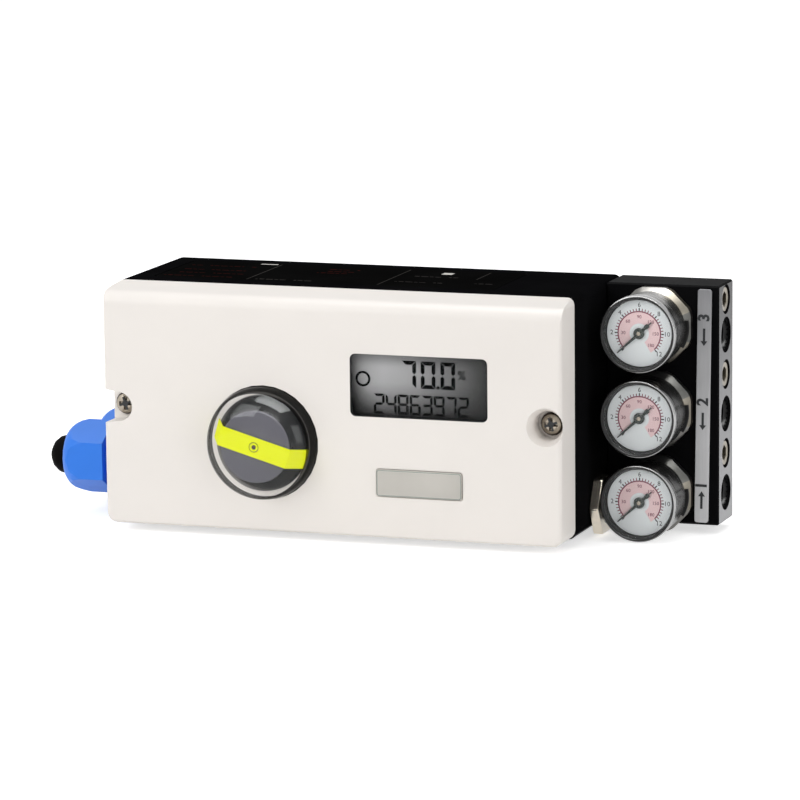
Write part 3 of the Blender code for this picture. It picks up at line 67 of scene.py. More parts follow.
# Places on the object that pieces are set by
COVER_FACE = 74.8
BLOCK_FACE = 19.4
BLOCK_RIGHT = 155.4
PORT_FORWARD = 9.7
PORT_Z = {"lower": -22.0, "middle": 7.1, "upper": 36.2}
BOLT_Z = {"lower": -7.45, "middle": 21.65, "upper": 49.2}
GAUGE_X = 131.8
GAUGE_Z = {"lower": -21.4, "middle": 9.5, "upper": 40.4}
DIAL_FACE = 21.6
DISPLAY_X, DISPLAY_Z = 59.45, 22.8
DISPLAY_FLOOR = 69.9
PANEL_FACE = 57.0
SCREW_X, SCREW_Z = {"left": -56.5, "right": 106.8}, 10.6
SCREW_FACE = 67.97
STRIP_X, STRIP_FACE, STRIP_Z, STRIP_LEAN = 149.7, 20.4, 11.2, -0.9
BADGE_FACE, BADGE_Z = 75.4, -12.4
LABEL_UNDER, LABEL_FACE = 54.74, 55.14
BOARD_FACE, TERMINAL_FACE = 46.6, 63.85
OUTER_FIGURES, INNER_FIGURES = 10.3, 6.0

# How a turned or drawn piece's own Z axis lies on the object
FORWARD = Matrix(((1, 0, 0), (0, 0, -1), (0, 1, 0))).to_4x4()
BACKWARD = Matrix(((-1, 0, 0), (0, 0, 1), (0, 1, 0))).to_4x4()
RIGHTWARD = Matrix(((0, 0, 1), (1, 0, 0), (0, 1, 0))).to_4x4()
UPWARD = Matrix.Identity(4)
DOWNWARD = Matrix(((1, 0, 0), (0, -1, 0), (0, 0, -1))).to_4x4()


# Finishes

def finish_base(name, colour, roughness, metallic=0.0):
    """A new material and its shader."""
    material = bpy.data.materials.new(name)
    material.use_nodes = True
    shader = material.node_tree.nodes["Principled BSDF"]
    shader.inputs["Base Color"].default_value = (*colour, 1)
    shader.inputs["Roughness"].default_value = roughness
    shader.inputs["Metallic"].default_value = metallic
    return material, shader


def place_of(material, scale=(1, 1, 1)):
    """Object coordinates through a Mapping node."""
    nodes, links = material.node_tree.nodes, material.node_tree.links
    place = nodes.new("ShaderNodeTexCoord")
    mapping = nodes.new("ShaderNodeMapping")
    mapping.inputs["Scale"].default_value = scale
    links.new(place.outputs["Object"], mapping.inputs["Vector"])
    return mapping.outputs["Vector"]


def noise(material, vector, scale, detail=4.0, roughness=0.55):
    node = material.node_tree.nodes.new("ShaderNodeTexNoise")
    node.inputs["Scale"].default_value = scale
    node.inputs["Detail"].default_value = detail
    node.inputs["Roughness"].default_value = roughness
    material.node_tree.links.new(vector, node.inputs["Vector"])
    return node.outputs["Fac"]


def ramp(material, value, stops):
    """A colour ramp with (place, colour) stops."""
    node = material.node_tree.nodes.new("ShaderNodeValToRGB")
    material.node_tree.links.new(value, node.inputs["Fac"])
    marks = node.color_ramp.elements
    while len(marks) < len(stops):
        marks.new(0.5)
    for mark, (where, colour) in zip(marks, stops):
        mark.position = where
        mark.color = (*colour, 1)
    return node.outputs["Color"]


def levels(material, value, low, high, start=0.0, end=1.0):
    """The value spread between two levels."""
    node = material.node_tree.nodes.new("ShaderNodeMapRange")
    node.inputs["From Min"].default_value = start
    node.inputs["From Max"].default_value = end
    node.inputs["To Min"].default_value = low
    node.inputs["To Max"].default_value = high
    material.node_tree.links.new(value, node.inputs["Value"])
    return node.outputs["Result"]


def blend(material, share, first, second, way="MIX"):
    """Two colours mixed by a share."""
    node = material.node_tree.nodes.new("ShaderNodeMix")
    node.data_type = "RGBA"
    node.blend_type = way
    links = material.node_tree.links
    for value, socket in ((share, node.inputs[0]), (first, node.inputs[6]), (second, node.inputs[7])):
        if isinstance(value, bpy.types.NodeSocket):
            links.new(value, socket)
        elif isinstance(value, tuple):
            socket.default_value = (*value, 1)
        else:
            socket.default_value = value
    return node.outputs[2]


def along(material, vector, axis):
    """One coordinate of a place, in metres."""
    node = material.node_tree.nodes.new("ShaderNodeSeparateXYZ")
    material.node_tree.links.new(vector, node.inputs["Vector"])
    return node.outputs[axis]


def bump(material, shader, height, strength, depth):
    node = material.node_tree.nodes.new("ShaderNodeBump")
    node.inputs["Strength"].default_value = strength
    node.inputs["Distance"].default_value = depth * MM
    material.node_tree.links.new(height, node.inputs["Height"])
    material.node_tree.links.new(node.outputs["Normal"], shader.inputs["Normal"])


def shades(colour, spread):
    """A darker and a lighter shade of a colour."""
    return [tuple(min(1, c * (1 + s)) for c in colour) for s in (-spread, spread)]


def moulded(name, colour, roughness, grain=900, depth=0.03, spread=0.03, specular=0.5):
    """Moulded plastic or paint: soft cloudy colour, uneven gloss and a fine skin."""
    material, shader = finish_base(name, colour, roughness)
    shader.inputs["Specular IOR Level"].default_value = specular
    place = place_of(material)
    cloud = noise(material, place, 35, 3)
    dark, light = shades(colour, spread)
    material.node_tree.links.new(ramp(material, cloud, [(0.3, dark), (0.7, light)]), shader.inputs["Base Color"])
    wear = noise(material, place, 120, 5)
    material.node_tree.links.new(
        levels(material, wear, roughness - 0.06, roughness + 0.06), shader.inputs["Roughness"]
    )
    bump(material, shader, noise(material, place, grain, 3), 0.25, depth)
    return material


def brushed(name, colour, roughness, scale, spread=0.08):
    """Metal with drawn grain: noise stretched along one way."""
    material, shader = finish_base(name, colour, roughness, 1.0)
    place = place_of(material, scale)
    grain = noise(material, place, 60, 6, 0.7)
    dark, light = shades(colour, spread)
    material.node_tree.links.new(ramp(material, grain, [(0.25, dark), (0.75, light)]), shader.inputs["Base Color"])
    material.node_tree.links.new(
        levels(material, grain, roughness - 0.08, roughness + 0.1), shader.inputs["Roughness"]
    )
    bump(material, shader, grain, 0.15, 0.01)
    return material


def clear(name, face_on=0.05, roughness=0.03):
    """Clear plastic or glass: see-through face on, a mirror towards its edges."""
    material, shader = finish_base(name, (0.93, 0.95, 0.95), roughness, 1.0)
    nodes, links = material.node_tree.nodes, material.node_tree.links
    weight = nodes.new("ShaderNodeLayerWeight")
    weight.inputs["Blend"].default_value = 0.5
    steep = nodes.new("ShaderNodeMath")
    steep.operation = "POWER"
    steep.inputs[1].default_value = 6.0
    links.new(weight.outputs["Facing"], steep.inputs[0])
    links.new(levels(material, steep.outputs[0], face_on, 1.0), shader.inputs["Alpha"])
    haze = noise(material, place_of(material), 90, 3)
    links.new(levels(material, haze, roughness, roughness + 0.03), shader.inputs["Roughness"])
    return material


def painted_dark_clear(name, colour, alpha, edge_alpha, roughness=0.06):
    """The dome's thick side: clear plastic given a painted dark tone, darkest where the eye looks along it."""
    material, shader = finish_base(name, colour, roughness)
    shader.inputs["Specular IOR Level"].default_value = 0.03
    weight = material.node_tree.nodes.new("ShaderNodeLayerWeight")
    weight.inputs["Blend"].default_value = 0.5
    material.node_tree.links.new(
        levels(material, weight.outputs["Facing"], alpha, edge_alpha), shader.inputs["Alpha"]
    )
    haze = noise(material, place_of(material), 90, 3)
    material.node_tree.links.new(levels(material, haze, roughness, roughness + 0.04), shader.inputs["Roughness"])
    return material


def alloy_with_painted_shade(name, stops, metallic, roughness, scale):
    """Bare alloy with painted shade that darkens it towards its top, with fine tool marks."""
    material, shader = finish_base(name, stops[0][1], roughness, metallic)
    place = place_of(material)
    # painted shade: the colour darkens with height
    height = levels(material, along(material, place, 2), 0.0, 1.0, -0.033, 0.055)
    base = ramp(material, height, stops)
    passes = noise(material, place_of(material, scale), 60, 5, 0.7)
    streak = ramp(material, passes, [(0.3, (0.88, 0.88, 0.88)), (0.7, (1, 1, 1))])
    material.node_tree.links.new(blend(material, 1.0, base, streak, "MULTIPLY"), shader.inputs["Base Color"])
    gloss = levels(material, passes, roughness - 0.08, roughness + 0.1)
    material.node_tree.links.new(gloss, shader.inputs["Roughness"])
    bump(material, shader, passes, 0.2, 0.01)
    return material


def display_painted_light(name):
    """The display's ground: grey, with a painted highlight at its upper left and painted shade falling off to dark
    edges.
    """
    material, shader = finish_base(name, (0.3, 0.3, 0.3), 0.4)
    shader.inputs["Specular IOR Level"].default_value = 0.2
    place = place_of(material)
    across = levels(material, along(material, place, 0), 0.0, 1.0, 0.0326, 0.0853)
    up = levels(material, along(material, place, 2), 0.0, 1.0, 0.0112, 0.0338)
    # painted highlight near the left, painted shade towards the right
    row = ramp(
        material,
        across,
        [(0.0, (0.22, 0.22, 0.22)), (0.05, (0.42, 0.42, 0.42)), (0.22, (0.54, 0.54, 0.55)),
         (0.42, (0.46, 0.46, 0.465)), (0.62, (0.26, 0.26, 0.265)), (0.84, (0.11, 0.11, 0.11)),
         (0.94, (0.05, 0.05, 0.05)), (1.0, (0.004, 0.004, 0.004))],
    )
    fall = ramp(
        material,
        up,
        [(0.0, (0.02, 0.02, 0.02)), (0.1, (0.2, 0.2, 0.2)), (0.32, (0.55, 0.55, 0.55)), (0.55, (0.9, 0.9, 0.9)),
         (0.8, (1, 1, 1)), (1.0, (0.7, 0.7, 0.7))],
    )
    painted_light_tone = blend(material, 1.0, row, fall, "MULTIPLY")
    nodes, links = material.node_tree.nodes, material.node_tree.links
    # painted shade darkening the lower left corner
    corner = nodes.new("ShaderNodeMath")
    corner.operation = "MULTIPLY_ADD"
    corner.inputs[1].default_value = 3.2
    links.new(across, corner.inputs[0])
    links.new(up, corner.inputs[2])
    reach = levels(material, corner.outputs[0], 0, 1, 0, 1.1)
    shade = ramp(material, reach, [(0.1, (0.04, 0.04, 0.04)), (0.75, (1, 1, 1))])
    mixed = blend(material, 1.0, painted_light_tone, shade, "MULTIPLY")
    patches = noise(material, place_of(material), 60, 2)
    cloud = ramp(material, patches, [(0.3, (0.8, 0.8, 0.8)), (0.7, (0.86, 0.86, 0.86))])
    links.new(blend(material, 1.0, mixed, cloud, "MULTIPLY"), shader.inputs["Base Color"])
    return material


cover_white = moulded("cover_white", (0.85, 0.808, 0.765), 0.4, 700, 0.03, 0.012, 0.3)
# painted shade: this darker copy of the paint, without sheen, goes on the front, top and right faces; the next copy
# keeps a sheen on the back, left and underside
housing_black = moulded("housing_black", (0.0045, 0.0045, 0.005), 0.7, 420, 0.08, 0.2, 0.0)
housing_sheen_side = moulded("housing_sheen_side", (0.0055, 0.0055, 0.006), 0.45, 420, 0.08, 0.2, 0.13)
label_black = moulded("label_black", (0.004, 0.004, 0.004), 0.6, 420, 0.02, 0.2, 0.0)
rubber_black = moulded("rubber_black", (0.0035, 0.003, 0.003), 0.6, 900, 0.05, 0.2, 0.02)
plastic_black = moulded("plastic_black", (0.012, 0.012, 0.013), 0.4, 800, 0.03, 0.15, 0.4)
panel_grey = moulded("panel_grey", (0.28, 0.29, 0.30), 0.45, 600, 0.04, 0.04)
board_green = moulded("board_green", (0.02, 0.14, 0.06), 0.35, 200, 0.02, 0.2)
terminal_green = moulded("terminal_green", (0.05, 0.32, 0.13), 0.45, 600, 0.03, 0.06)
gland_blue = moulded("gland_blue", (0.03, 0.205, 0.80), 0.42, 260, 0.05, 0.05, 0.3)
cap_grey = moulded("cap_grey", (0.11, 0.108, 0.128), 0.4, 500, 0.02, 0.08, 0.15)
cap_flank = moulded("cap_flank", (0.006, 0.006, 0.007), 0.25, 500, 0.02, 0.08, 0.15)
stripe_yellow = moulded("stripe_yellow", (0.80, 0.86, 0.002), 0.5, 500, 0.02, 0.03, 0.03)
dial_white = moulded("dial_white", (0.80, 0.84, 0.85), 0.5, 300, 0.01, 0.02)
band_pink = moulded("band_pink", (0.84, 0.62, 0.63), 0.5, 300, 0.01, 0.02)
# printed marks, and the painted shadow laid in the screws' crosses
ink_and_shadow_black = moulded("ink_and_shadow_black", (0.01, 0.012, 0.014), 0.5, 300, 0.01, 0.1)
ink_red = moulded("ink_red", (0.21, 0.045, 0.075), 0.5, 300, 0.01, 0.1)
ink_white = moulded("ink_white", (0.7, 0.7, 0.7), 0.5, 300, 0.01, 0.05)
needle_green = moulded("needle_green", (0.014, 0.022, 0.018), 0.4, 300, 0.01, 0.1)
# painted shade: near black, for the bezels' inner faces, the collars' shaded facets and the gap beside each case
painted_shade_dark = moulded("painted_shade_dark", (0.014, 0.014, 0.014), 0.35, 300, 0.01, 0.1, 0.3)
display_ground = display_painted_light("display_ground")
display_ink = moulded("display_ink", (0.0015, 0.0018, 0.002), 0.5, 300, 0.01, 0.1, 0.0)
nickel = brushed("nickel", (0.66, 0.63, 0.58), 0.22, (1, 14, 1))
chrome = brushed("chrome", (0.60, 0.60, 0.60), 0.16, (1, 12, 1), spread=0.04)
steel = brushed("steel", (0.34, 0.30, 0.245), 0.32, (8, 1, 8))
badge_silver = moulded("badge_silver", (0.52, 0.50, 0.46), 0.4, 120, 0.01, 0.08, 0.3)
badge_edge = moulded("badge_edge", (0.22, 0.26, 0.235), 0.4, 300, 0.01, 0.1)
# painted shade: the strip darkens towards its top
strip_silver = alloy_with_painted_shade(
    "strip_silver",
    [(0.0, (0.66, 0.66, 0.67)), (0.35, (0.60, 0.60, 0.61)), (0.7, (0.45, 0.45, 0.46)), (1.0, (0.21, 0.21, 0.22))],
    0.3, 0.5, (30, 30, 1),
)
# painted shade: this darker copy of the block's paint, with almost no sheen, goes on its top, front and left faces
block_black = moulded("block_black", (0.0035, 0.0035, 0.004), 0.6, 500, 0.03, 0.2, 0.015)
# painted shade: the milled face darkens towards its top
milled_face = alloy_with_painted_shade(
    "milled_face",
    [(0.0, (0.38, 0.38, 0.39)), (0.5, (0.26, 0.26, 0.27)), (0.8, (0.13, 0.13, 0.135)), (1.0, (0.06, 0.06, 0.062))],
    0.2, 0.5, (1, 40, 3),
)
# the same paint keeping its sheen, for the block's back and underside
block_sheen_side = moulded("block_sheen_side", (0.0045, 0.0045, 0.005), 0.42, 500, 0.03, 0.2, 0.13)
thread_black = moulded("thread_black", (0.004, 0.004, 0.0045), 0.3, 500, 0.02, 0.2, 0.25)
alloy = brushed("alloy", (0.52, 0.53, 0.54), 0.38, (1, 20, 1))
brass = brushed("brass", (0.55, 0.38, 0.14), 0.3, (12, 12, 1))
bronze = brushed("bronze", (0.42, 0.27, 0.13), 0.4, (6, 6, 1))
bezel_steel = brushed("bezel_steel", (0.34, 0.34, 0.34), 0.2, (1, 12, 1), spread=0.05)
case_steel = brushed("case_steel", (0.20, 0.20, 0.195), 0.24, (1, 12, 1), spread=0.05)
bolt_steel = brushed("bolt_steel", (0.24, 0.215, 0.17), 0.3, (1, 10, 10))
plug_steel = brushed("plug_steel", (0.72, 0.66, 0.56), 0.2, (1, 10, 1))
# painted reflections and painted shade: copies of one metal in lighter and darker tones, one for each way a collar
# facet faces
collar_painted_highlight = brushed("collar_painted_highlight", (0.17, 0.165, 0.155), 0.3, (6, 1, 6), spread=0.1)
collar_painted_reflection = brushed("collar_painted_reflection", (0.16, 0.147, 0.122), 0.35, (6, 1, 6), spread=0.15)
collar_painted_shade = brushed("collar_painted_shade", (0.085, 0.085, 0.08), 0.35, (6, 1, 6), spread=0.15)
# dark steel for the indicator pin, and painted shade on the screw and bolt rims
dark_steel_and_shade = brushed("dark_steel_and_shade", (0.055, 0.045, 0.035), 0.3, (8, 1, 8))
label_red = moulded("label_red", (0.035, 0.008, 0.007), 0.6, 420, 0.02, 0.2, 0.0)
label_grey = moulded("label_grey", (0.045, 0.042, 0.04), 0.6, 420, 0.02, 0.2, 0.0)
dome_clear = clear("dome_clear", 0.014)
# painted shade: the clear dome's side is given a near-black tone
dome_side = painted_dark_clear("dome_side", (0.002, 0.002, 0.002), 0.78, 0.99)
window_clear = clear("window_clear", 0.003)
gauge_glass = clear("gauge_glass", 0.006)


# Making shapes, in millimetres

def together(*shapes):
    """Several shapes as one."""
    whole = shapes[0]
    for other in shapes[1:]:
        mesh = bpy.data.meshes.new("share")
        other.to_mesh(mesh)
        other.free()
        whole.from_mesh(mesh)
        bpy.data.meshes.remove(mesh)
    return whole


def shift(shape, x=0.0, y=0.0, z=0.0, turn=0.0):
    """Turns a shape about its Z axis, in degrees, and moves it."""
    matrix = Matrix.Translation(Vector((x, y, z)) * MM) @ Matrix.Rotation(math.radians(turn), 4, "Z")
    bmesh.ops.transform(shape, matrix=matrix, verts=shape.verts)
    return shape


def spun(profile, steps=64, closed=False):
    """A profile of (radius, height) spun about Z."""
    shape = bmesh.new()
    points = [shape.verts.new((radius * MM, 0, height * MM)) for radius, height in profile]
    edges = [shape.edges.new(pair) for pair in zip(points, points[1:])]
    if closed:
        edges.append(shape.edges.new((points[-1], points[0])))
    bmesh.ops.spin(
        shape, geom=points + edges, cent=(0, 0, 0), axis=(0, 0, 1), angle=math.tau, steps=steps, use_merge=True
    )
    bmesh.ops.remove_doubles(shape, verts=shape.verts, dist=0.000001)
    bmesh.ops.dissolve_degenerate(shape, edges=shape.edges, dist=0.0000001)
    return shape


def drawn(outline, start, end):
    """A flat outline of (x, y), drawn out along Z."""
    shape = bmesh.new()
    face = shape.faces.new([shape.verts.new((x * MM, y * MM, start * MM)) for x, y in outline])
    out = bmesh.ops.extrude_face_region(shape, geom=[face])
    moved = [v for v in out["geom"] if isinstance(v, bmesh.types.BMVert)]
    bmesh.ops.translate(shape, vec=(0, 0, (end - start) * MM), verts=moved)
    return shape


def stacked(levels_up):
    """Outlines of as many points, one above the other, skinned and closed."""
    shape = bmesh.new()
    rings = []
    for outline, height in levels_up:
        points = [shape.verts.new((x * MM, y * MM, height * MM)) for x, y in outline]
        rings.append([shape.edges.new((points[i - 1], points[i])) for i in range(len(points))])
    for first, second in zip(rings, rings[1:]):
        bmesh.ops.bridge_loops(shape, edges=first + second)
    bmesh.ops.holes_fill(shape, edges=shape.edges, sides=0)
    return shape


def bar(x0, y0, x1, y1, start=0.0, end=0.03):
    return drawn([(x0, y0), (x1, y0), (x1, y1), (x0, y1)], start, end)


def band(inner, outer, first, last, start, end, steps=60):
    """Part of a flat ring between two angles in degrees."""
    shape = bmesh.new()
    corners = [(inner, start), (outer, start), (outer, end), (inner, end)]
    points = [shape.verts.new((radius * MM, 0, height * MM)) for radius, height in corners]
    edges = [shape.edges.new((points[i], points[(i + 1) % 4])) for i in range(4)]
    face = shape.faces.new(points)
    bmesh.ops.rotate(shape, cent=(0, 0, 0), matrix=Matrix.Rotation(math.radians(first), 3, "Z"), verts=points)
    bmesh.ops.spin(
        shape, geom=[face, *edges, *points], cent=(0, 0, 0), axis=(0, 0, 1),
        angle=math.radians(last - first), steps=steps
    )
    return shape


def figures(words, size, thick=0.03, weight=0.0):
    """Plain figures as a thin flat shape about the origin."""
    curve = bpy.data.curves.new("figures", "FONT")
    curve.body = words
    curve.size = size * MM
    curve.align_x = "CENTER"
    curve.align_y = "CENTER"
    curve.resolution_u = 2
    curve.extrude = thick * MM / 2
    curve.offset = weight * MM
    holder = bpy.data.objects.new("figures", curve)
    mesh = bpy.data.meshes.new_from_object(holder)
    shape = bmesh.new()
    shape.from_mesh(mesh)
    bpy.data.objects.remove(holder)
    bpy.data.curves.remove(curve)
    bpy.data.meshes.remove(mesh)
    return shift(shape, 0, 0, thick / 2)


def spot(x, forward, z):
    return Vector((x, -forward, z)) * MM


def put(shape, way, at):
    """Turns a shape to one of the ways above and moves it to a spot."""
    bmesh.ops.transform(shape, matrix=Matrix.Translation(at) @ way, verts=shape.verts)
    return shape


def piece(name, shape, materials, body, replaces=(), sharp=35, edge=0.0, segments=2, choose=None):
    """A finished piece from a shape that already stands in its place."""
    bmesh.ops.remove_doubles(shape, verts=shape.verts, dist=0.000002)
    bmesh.ops.recalc_face_normals(shape, faces=shape.faces)
    if choose:
        for face in shape.faces:
            face.material_index = choose(face)
    mesh = bpy.data.meshes.new(name)
    shape.to_mesh(mesh)
    shape.free()
    mesh.shade_smooth()
    mesh.set_sharp_from_angle(angle=math.radians(sharp))
    obj = bpy.data.objects.new(name, mesh)
    bpy.context.scene.collection.objects.link(obj)
    finishes = materials if isinstance(materials, (list, tuple)) else [materials]
    for material in finishes:
        mesh.materials.append(material)
    if edge:
        bevel = obj.modifiers.new("round", "BEVEL")
        bevel.width = edge * MM
        bevel.segments = segments
        bevel.limit_method = "ANGLE"
        bevel.angle_limit = math.radians(30)
        bevel.harden_normals = True
    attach(obj, body)
    if replaces:
        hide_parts(*replaces)
    return obj


def softened(node, materials, body, edge=0.25, sharp=28, segments=2, choose=None):
    """The CAD node's own form with its edges eased and its round faces smooth."""
    shape = bmesh.new()
    shape.from_mesh(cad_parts[node].data)
    bmesh.ops.remove_doubles(shape, verts=shape.verts, dist=0.000002)
    bmesh.ops.dissolve_limit(
        shape, angle_limit=math.radians(0.5), verts=shape.verts, edges=shape.edges, delimit={"NORMAL"}
    )
    obj = piece(f"{node}_form", shape, materials, body, [node], sharp, edge, segments, choose)
    weighted = obj.modifiers.new("even_shading", "WEIGHTED_NORMAL")
    weighted.keep_sharp = True
    return obj


def paint(material, *nodes):
    """Gives CAD nodes that stay as they are a finish."""
    for node in nodes:
        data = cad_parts[node].data
        data.materials.clear()
        data.materials.append(material)


# The studio

def camera():
    turn, tilt, roll = (math.radians(a) for a in (VIEW_TURN, VIEW_TILT, VIEW_ROLL))
    right = Vector((math.cos(turn), math.sin(turn), 0))
    look = Vector((-math.sin(turn) * math.cos(tilt), math.cos(turn) * math.cos(tilt), -math.sin(tilt)))
    up = right.cross(look)
    side = math.cos(roll) * right - math.sin(roll) * up
    top = math.sin(roll) * right + math.cos(roll) * up
    data = bpy.data.cameras.new("camera")
    data.lens = VIEW_LENS
    data.clip_start, data.clip_end = 0.1, 20
    obj = bpy.data.objects.new("camera", data)
    at = (Vector(VIEW_CENTRE) - look * VIEW_DISTANCE) * MM
    obj.matrix_world = Matrix.Translation(at) @ Matrix((side, top, -look)).transposed().to_4x4()
    bpy.context.scene.collection.objects.link(obj)
    bpy.context.scene.camera = obj


def lamp(name, at, size, power, aim=(0.03, -0.04, 0.0), lights=True):
    data = bpy.data.lights.new(name, "AREA")
    data.shape = "RECTANGLE"
    data.size, data.size_y = size
    data.energy = power
    obj = bpy.data.objects.new(name, data)
    at = Vector(at)
    turn = (Vector(aim) - at).to_track_quat("-Z", "Y")
    obj.visible_diffuse = lights
    obj.matrix_world = Matrix.Translation(at) @ turn.to_matrix().to_4x4()
    bpy.context.scene.collection.objects.link(obj)


def white_to_the_eye(tree, lit, unseen):
    """A strength of 1 for the camera, for mirrors and through glass, and another for the light itself."""
    nodes, links = tree.nodes, tree.links
    path = nodes.new("ShaderNodeLightPath")
    seen = path.outputs["Is Camera Ray"]
    for ray in ("Is Glossy Ray", "Is Transmission Ray"):
        either = nodes.new("ShaderNodeMath")
        either.operation = "MAXIMUM"
        links.new(seen, either.inputs[0])
        links.new(path.outputs[ray], either.inputs[1])
        seen = either.outputs[0]
    strength = nodes.new("ShaderNodeMapRange")
    strength.inputs["To Min"].default_value = unseen
    strength.inputs["To Max"].default_value = lit
    links.new(seen, strength.inputs["Value"])
    return strength.outputs["Result"]


def studio():
    scene = bpy.context.scene
    scene.view_settings.view_transform = "Standard"
    world = bpy.data.worlds.new("studio_air")
    scene.world = world
    world.use_nodes = True
    air = world.node_tree.nodes["Background"]
    air.inputs["Color"].default_value = (1, 1, 1, 1)
    world.node_tree.links.new(white_to_the_eye(world.node_tree, 1.0, 0.4), air.inputs["Strength"])
    low, _ = cad_box
    floor_mesh = bpy.data.meshes.new("floor")
    shape = bmesh.new()
    bmesh.ops.create_grid(shape, x_segments=1, y_segments=1, size=3)
    bmesh.ops.translate(shape, vec=(0, 0, low.z - 0.0005), verts=shape.verts)
    shape.to_mesh(floor_mesh)
    shape.free()
    floor = bpy.data.objects.new("floor", floor_mesh)
    scene.collection.objects.link(floor)
    material, shader = finish_base("floor_white", (0.9, 0.9, 0.9), 0.9)
    shader.inputs["Emission Color"].default_value = (1, 1, 1, 1)
    material.node_tree.links.new(
        white_to_the_eye(material.node_tree, 0.6, 0.0), shader.inputs["Emission Strength"]
    )
    floor_mesh.materials.append(material)
    lamp("key", (-0.75, -1.1, 0.85), (0.9, 0.9), 11)
    lamp("fill", (1.35, -0.55, 0.25), (0.8, 1.0), 6)
    lamp("top", (0.0, 0.2, 1.2), (1.2, 0.8), 4)
    lamp("ceiling_in_mirrors", (0.25, -0.1, 1.3), (1.3, 1.2), 55, lights=False)


# Housing, cover and what is set in them

def dress_housing():
    # back, left and underside keep the sheen; the other faces get the darker copy as painted shade
    def sheen_side(face):
        return 1 if face.normal.y > 0.5 or face.normal.x < -0.5 or face.normal.z < -0.5 else 0

    softened("housing", [housing_black, housing_sheen_side], "housing_body", 0.5, choose=sheen_side)
    softened("blanking_plug", plug_steel, "housing_body", 0.35)
    dress_label()
    paint(rubber_black, "cover_gasket")
    for x in (-40, 40):
        for z in (-20, 20):
            side = "left" if x < 0 else "right"
            name = f"bracket_thread_{side}_{'low' if z < 0 else 'high'}"
            piece(name, put(thread(3.4, 9.2, 1.25), BACKWARD, spot(x, 9.6, z)), steel, "housing_body")
    for x in (-25, 25):
        for forward in (12, 38):
            name = f"foot_thread_{'left' if x < 0 else 'right'}_{forward}"
            piece(name, put(thread(2.5, 7.2, 1.0), DOWNWARD, spot(x, forward, -25.2)), steel, "housing_body")


def dress_label():
    """The black film on top, with ruled columns and faint rows of plain dashes."""
    film = drawn(rounded(65.6, 20.6, 2.0), 0, 0.4)
    piece("label_film", put(film, UPWARD, Vector((13.6, -28.0, LABEL_UNDER)) * MM), label_black, "housing_body",
          ["film_label"])
    at = Vector((0, 0, LABEL_FACE)) * MM
    columns = ((-16.3, -46.6, -9), (34.5, -47, -9), (65.6, -26, -9))
    rules = [bar(x - 0.2, near, x + 0.2, far) for x, near, far in columns]
    rules += dashes(-13.5, 10.5, (-45.4,), 1.0) + dashes(38, 60, (-38, -24), 0.7) + dashes(68, 77, (-36,), 0.7)
    piece("label_rules", put(together(*rules), UPWARD, at), label_grey, "housing_body")
    words = dashes(-50, -20, (-44, -36, -28, -18), 0.8) + dashes(3, 20, (-25, -21, -16), 1.2)
    piece("label_words", put(together(*words), UPWARD, at), label_red, "housing_body")
    marks = [bar(49, -17, 53, -13), bar(-24.5, -10, -17.8, -8.6)]
    piece("label_marks", put(together(*marks), UPWARD, at), badge_silver, "housing_body")


def dashes(first, last, rows, high):
    """Rows of uneven dashes between two places."""
    shapes = []
    for row, y in enumerate(rows):
        x, i = first + (row * 3 % 4), row
        while x < last - 3:
            long = 0.9 + (i * 7 % 5) * 0.45
            shapes.append(bar(x, y, x + long, y + high * (0.7 + (i * 3 % 4) * 0.15)))
            x += long + 0.7 + (2.4 if i % 6 == 4 else 0)
            i += 1
    return shapes


def thread(radius, length, pitch, wall=0.45):
    """Thread turns lining a tapped hole, from its floor up its own Z axis."""
    outer = radius - 0.03
    profile = [(outer, 0), (outer, length)]
    turns = int(length / pitch)
    top = turns * pitch
    for i in range(turns):
        profile += [(outer - 0.05, top - pitch * i), (outer - wall, top - pitch * (i + 0.5))]
    return spun(profile + [(outer - 0.05, 0)], 40, True)


def dress_cover():
    def window_edge(face):
        centre = face.calc_center_median() / MM
        inside = abs(centre.x - DISPLAY_X) < 26.6 and abs(centre.z - DISPLAY_Z) < 12
        return 1 if inside and abs(face.normal.y) < 0.5 and centre.y > -COVER_FACE + 0.4 else 0

    softened("front_cover", [cover_white, plastic_black], "cover", 0.35, choose=window_edge)
    for side, x in SCREW_X.items():
        dress_screw(side, x)
    softened("display_window", window_clear, "cover", 0.3)
    softened("badge_plate", badge_silver, "cover", 0.2)
    half_x, half_z = 15.95, 4.7
    outer = rounded(half_x, half_z, 0.8)
    inner = rounded(half_x - 0.25, half_z - 0.25, 0.6)
    shape = frame_of(outer, inner, 0, 0.04)
    piece("badge_line", put(shape, FORWARD, spot(DISPLAY_X, BADGE_FACE, BADGE_Z)), badge_edge, "cover")


def dress_screw(side, x):
    """A cross-head cover screw, with painted shade round its rim and a dark sheet of painted shadow in its cross."""
    # painted shade: the head's rim and side take the darker steel
    def rim(face):
        centre = face.calc_center_median() / MM
        return 1 if math.hypot(centre.x - x, centre.z - SCREW_Z) > 3.25 or centre.y > -66.4 else 0

    softened(f"cover_screw_{side}", [steel, dark_steel_and_shade], f"{side}_screw", 0.3, choose=rim)
    # painted shadow: a dark sheet laid in the cross recess
    cross = [shift(bar(-2.5, -0.42, 2.5, 0.42, 0, thick), turn=turn) for turn, thick in ((20, 0.02), (110, 0.025))]
    cross.append(drawn(round_outline(1.25, 12), 0, 0.03))
    at = spot(x, SCREW_FACE, SCREW_Z)
    piece(f"screw_cross_shadow_{side}", put(together(*cross), FORWARD, at), ink_and_shadow_black, f"{side}_screw")


